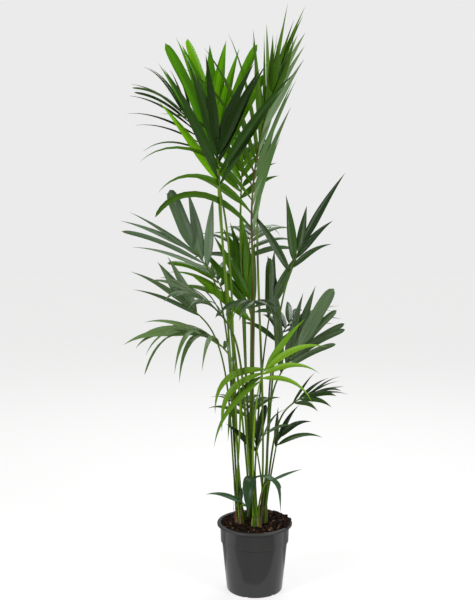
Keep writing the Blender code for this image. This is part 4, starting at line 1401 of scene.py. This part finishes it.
def leaf_finish(name, colour, roughness, sheen):
    """Leaf skin: fine streaks follow the veins along each blade, and its gloss varies a little."""
    skin, shader, tree = new_material(name, colour, roughness)
    own = tree.nodes.new("ShaderNodeTexCoord")
    sized = tree.nodes.new("ShaderNodeMapping")
    sized.inputs["Scale"].default_value = VEIN_STRETCH
    veins = tree.nodes.new("ShaderNodeTexNoise")
    veins.inputs["Scale"].default_value = 1
    veins.inputs["Detail"].default_value = 2
    tree.links.new(own.outputs["UV"], sized.inputs["Vector"])
    tree.links.new(sized.outputs["Vector"], veins.inputs["Vector"])
    stops = ((0.3, scaled(colour, VEIN_DARK)), (0.7, scaled(colour, VEIN_LIGHT)))
    shades(tree, shader, veins.outputs["Fac"], stops)
    relief(tree, shader, veins.outputs["Fac"], 0.0006, 0.35)
    gloss_range(tree, shader, speckle(tree, 35), roughness - 0.06, roughness + 0.08)
    shader.inputs["Specular IOR Level"].default_value = sheen
    return skin


UPPER_TINTS = {
    "lime": ((0.21, 0.42, 0.018), (0.28, 0.50, 0.034), (0.15, 0.34, 0.012)),
    # The bright tint holds painted light: its greens are raised to stand for light from behind shining
    # through the topmost leaflets, on top_left_back and the left side of top_centre.
    "bright": ((0.12, 0.36, 0.001), (0.19, 0.50, 0.002), (0.070, 0.25, 0.001)),
    "fresh": ((0.095, 0.21, 0.008), (0.13, 0.27, 0.014), (0.060, 0.15, 0.005)),
    "middle": ((0.060, 0.165, 0.001), (0.085, 0.22, 0.002), (0.040, 0.12, 0.001)),
    # The deep tint is painted shade: top_left_front's leaflets, which take both their sides from it, are
    # darkened to stand for the shade they lie in at the front of the crown.
    "deep": ((0.0085, 0.030, 0.001), (0.018, 0.054, 0.002), (0.005, 0.018, 0.001)),
    "dark": ((0.018, 0.052, 0.004), (0.030, 0.078, 0.008), (0.010, 0.034, 0.003)),
    # The grey tint is partly the leaves' own grey-green and partly painted sheen: it is paled towards the
    # look of light glancing off the leaflets.
    "grey": ((0.068, 0.122, 0.044), (0.098, 0.162, 0.068), (0.046, 0.086, 0.028)),
}
UNDER_TINTS = {
    "lime": ((0.24, 0.44, 0.05), (0.20, 0.38, 0.03)),
    # Painted light here too: raised greens that stand for light shining through top_left_back's leaflets
    # from behind.
    "bright": ((0.105, 0.28, 0.003), (0.13, 0.34, 0.006)),
    "fresh": ((0.10, 0.20, 0.04), (0.08, 0.16, 0.025)),
    "middle": ((0.045, 0.12, 0.002), (0.060, 0.155, 0.004)),
    # Painted shade on top_left_front's undersides as well; the undersides of top_left_outer and the foot
    # fronds take the same dark green.
    "deep": ((0.009, 0.030, 0.001), (0.018, 0.056, 0.003)),
    "dark": ((0.021, 0.052, 0.007), (0.031, 0.068, 0.012)),
    "grey": ((0.080, 0.140, 0.054), (0.11, 0.18, 0.080)),
}
FOOT_GREEN = ((0.026, 0.080, 0.022), (0.038, 0.105, 0.034), (0.018, 0.055, 0.014))
OWN_TINTS = {
    "foot_front": FOOT_GREEN,
    "foot_left": FOOT_GREEN,
    "foot_right": FOOT_GREEN,
    "weeping_left": ((0.085, 0.170, 0.038), (0.12, 0.21, 0.060), (0.060, 0.125, 0.024)),
    # upper_left's own tint is likewise partly grey-green leaf and partly painted sheen, paled for light
    # glancing off it.
    "upper_left": ((0.105, 0.170, 0.085), (0.14, 0.21, 0.115), (0.072, 0.125, 0.055)),
    "top_left_outer": ((0.035, 0.080, 0.012), (0.055, 0.115, 0.022), (0.020, 0.052, 0.007)),
}
WAXY_TINTS = ("grey", "dark", "weeping_left", "upper_left", "foot_front", "foot_left", "foot_right")
PALE_BACKS = ((0.16, 0.27, 0.10), (0.22, 0.34, 0.16), (0.11, 0.21, 0.06))
SIDE_TINTS = {
    ("top_centre", -1): ("bright", "pale_back"),
    ("top_centre", 1): ("middle", "middle"),
    ("young_front", -1): ("fresh", "fresh"),
}
DRY_TIP = (0.34, 0.27, 0.13)
LOOKS_SEED = 500



def leaf_finishes(name, colours, roughness, sheen):
    """One finish for each of a tint's colours, numbered from 1."""
    return [leaf_finish(f"{name}_{i}", colour, roughness, sheen) for i, colour in enumerate(colours, 1)]


upper_finishes = {}
for tint, colours in {**UPPER_TINTS, **OWN_TINTS}.items():
    sheen = WAXY_SHEEN if tint in WAXY_TINTS else LEAF_SHEEN
    upper_finishes[tint] = leaf_finishes("leaf_" + tint, colours, UPPER_ROUGHNESS, sheen)
under_finishes = {}
for tint, colours in {**UNDER_TINTS, "pale_back": PALE_BACKS}.items():
    under_finishes[tint] = leaf_finishes("leaf_back_" + tint, colours, UNDER_ROUGHNESS, LEAF_SHEEN)
dry_tip_finish = leaf_finish("dry_tip", DRY_TIP, DRY_ROUGHNESS, LEAF_SHEEN)

obstacles = []
for name, node in frame["nodes"].items():
    if not name.startswith("frond_"):
        obstacles.append(tree_of_mesh(node.data))
rib_trees = {frond.name: solid_rib(frond) for frond in FRONDS}
for frond in FRONDS:
    others = obstacles + [tree for name, tree in rib_trees.items() if name != frond.name]
    own_tint = frond.name if frond.name in OWN_TINTS else frond.tint
    finishes = [dry_tip_finish]
    points, faces, face_finishes, places = [], [], [], []
    chance = random.Random(frond.seed + LOOKS_SEED)
    for line, hand, length, width, thickness, stations in fitted_leaflets(frond, others):
        obstacles.append(tree_of(*solid_blade(line, width, thickness, stations)))
        blunt = chance.random() < BLUNT_SHARES.get(frond.name, OTHER_BLUNT_SHARE)
        dry = chance.random() < DRY_TIP_SHARE and not blunt
        upper_tint, under_tint = SIDE_TINTS.get((frond.name, hand), (own_tint, frond.tint))
        choices = (chance.choice(upper_finishes[upper_tint]), chance.choice(under_finishes[under_tint]))
        for choice in choices:
            if choice not in finishes:
                finishes.append(choice)
        upper_choice, under_choice = (finishes.index(choice) for choice in choices)
        if under_tint == "pale_back":
            line = [(point, along, -normal) for point, along, normal in line]
        blade_points, blade_faces, shares, is_upper, blade_places = fine_blade(
            line, length, width, chance, blunt
        )
        start = len(points)
        points.extend(blade_points)
        places.extend(blade_places)
        for face, share, upper in zip(blade_faces, shares, is_upper):
            faces.append(tuple(corner + start for corner in face))
            if dry and share > DRY_TIP_FROM:
                face_finishes.append(finishes.index(dry_tip_finish))
            else:
                face_finishes.append(upper_choice if upper else under_choice)
    leaflets = mesh_piece("leaflets_" + frond.name, points, faces)
    blades = leaflets.data
    for finish in finishes:
        blades.materials.append(finish)
    blades.polygons.foreach_set("material_index", face_finishes)
    corners = np.empty(len(blades.loops), np.int32)
    blades.loops.foreach_get("vertex_index", corners)
    leaf_places = blades.uv_layers.new(name="along_the_blade")
    leaf_places.data.foreach_set("uv", np.array(places, np.float32)[corners].ravel())
    smooth_by_angle(leaflets, 45)
    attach(leaflets, "root")
    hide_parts("frond_" + frond.name)
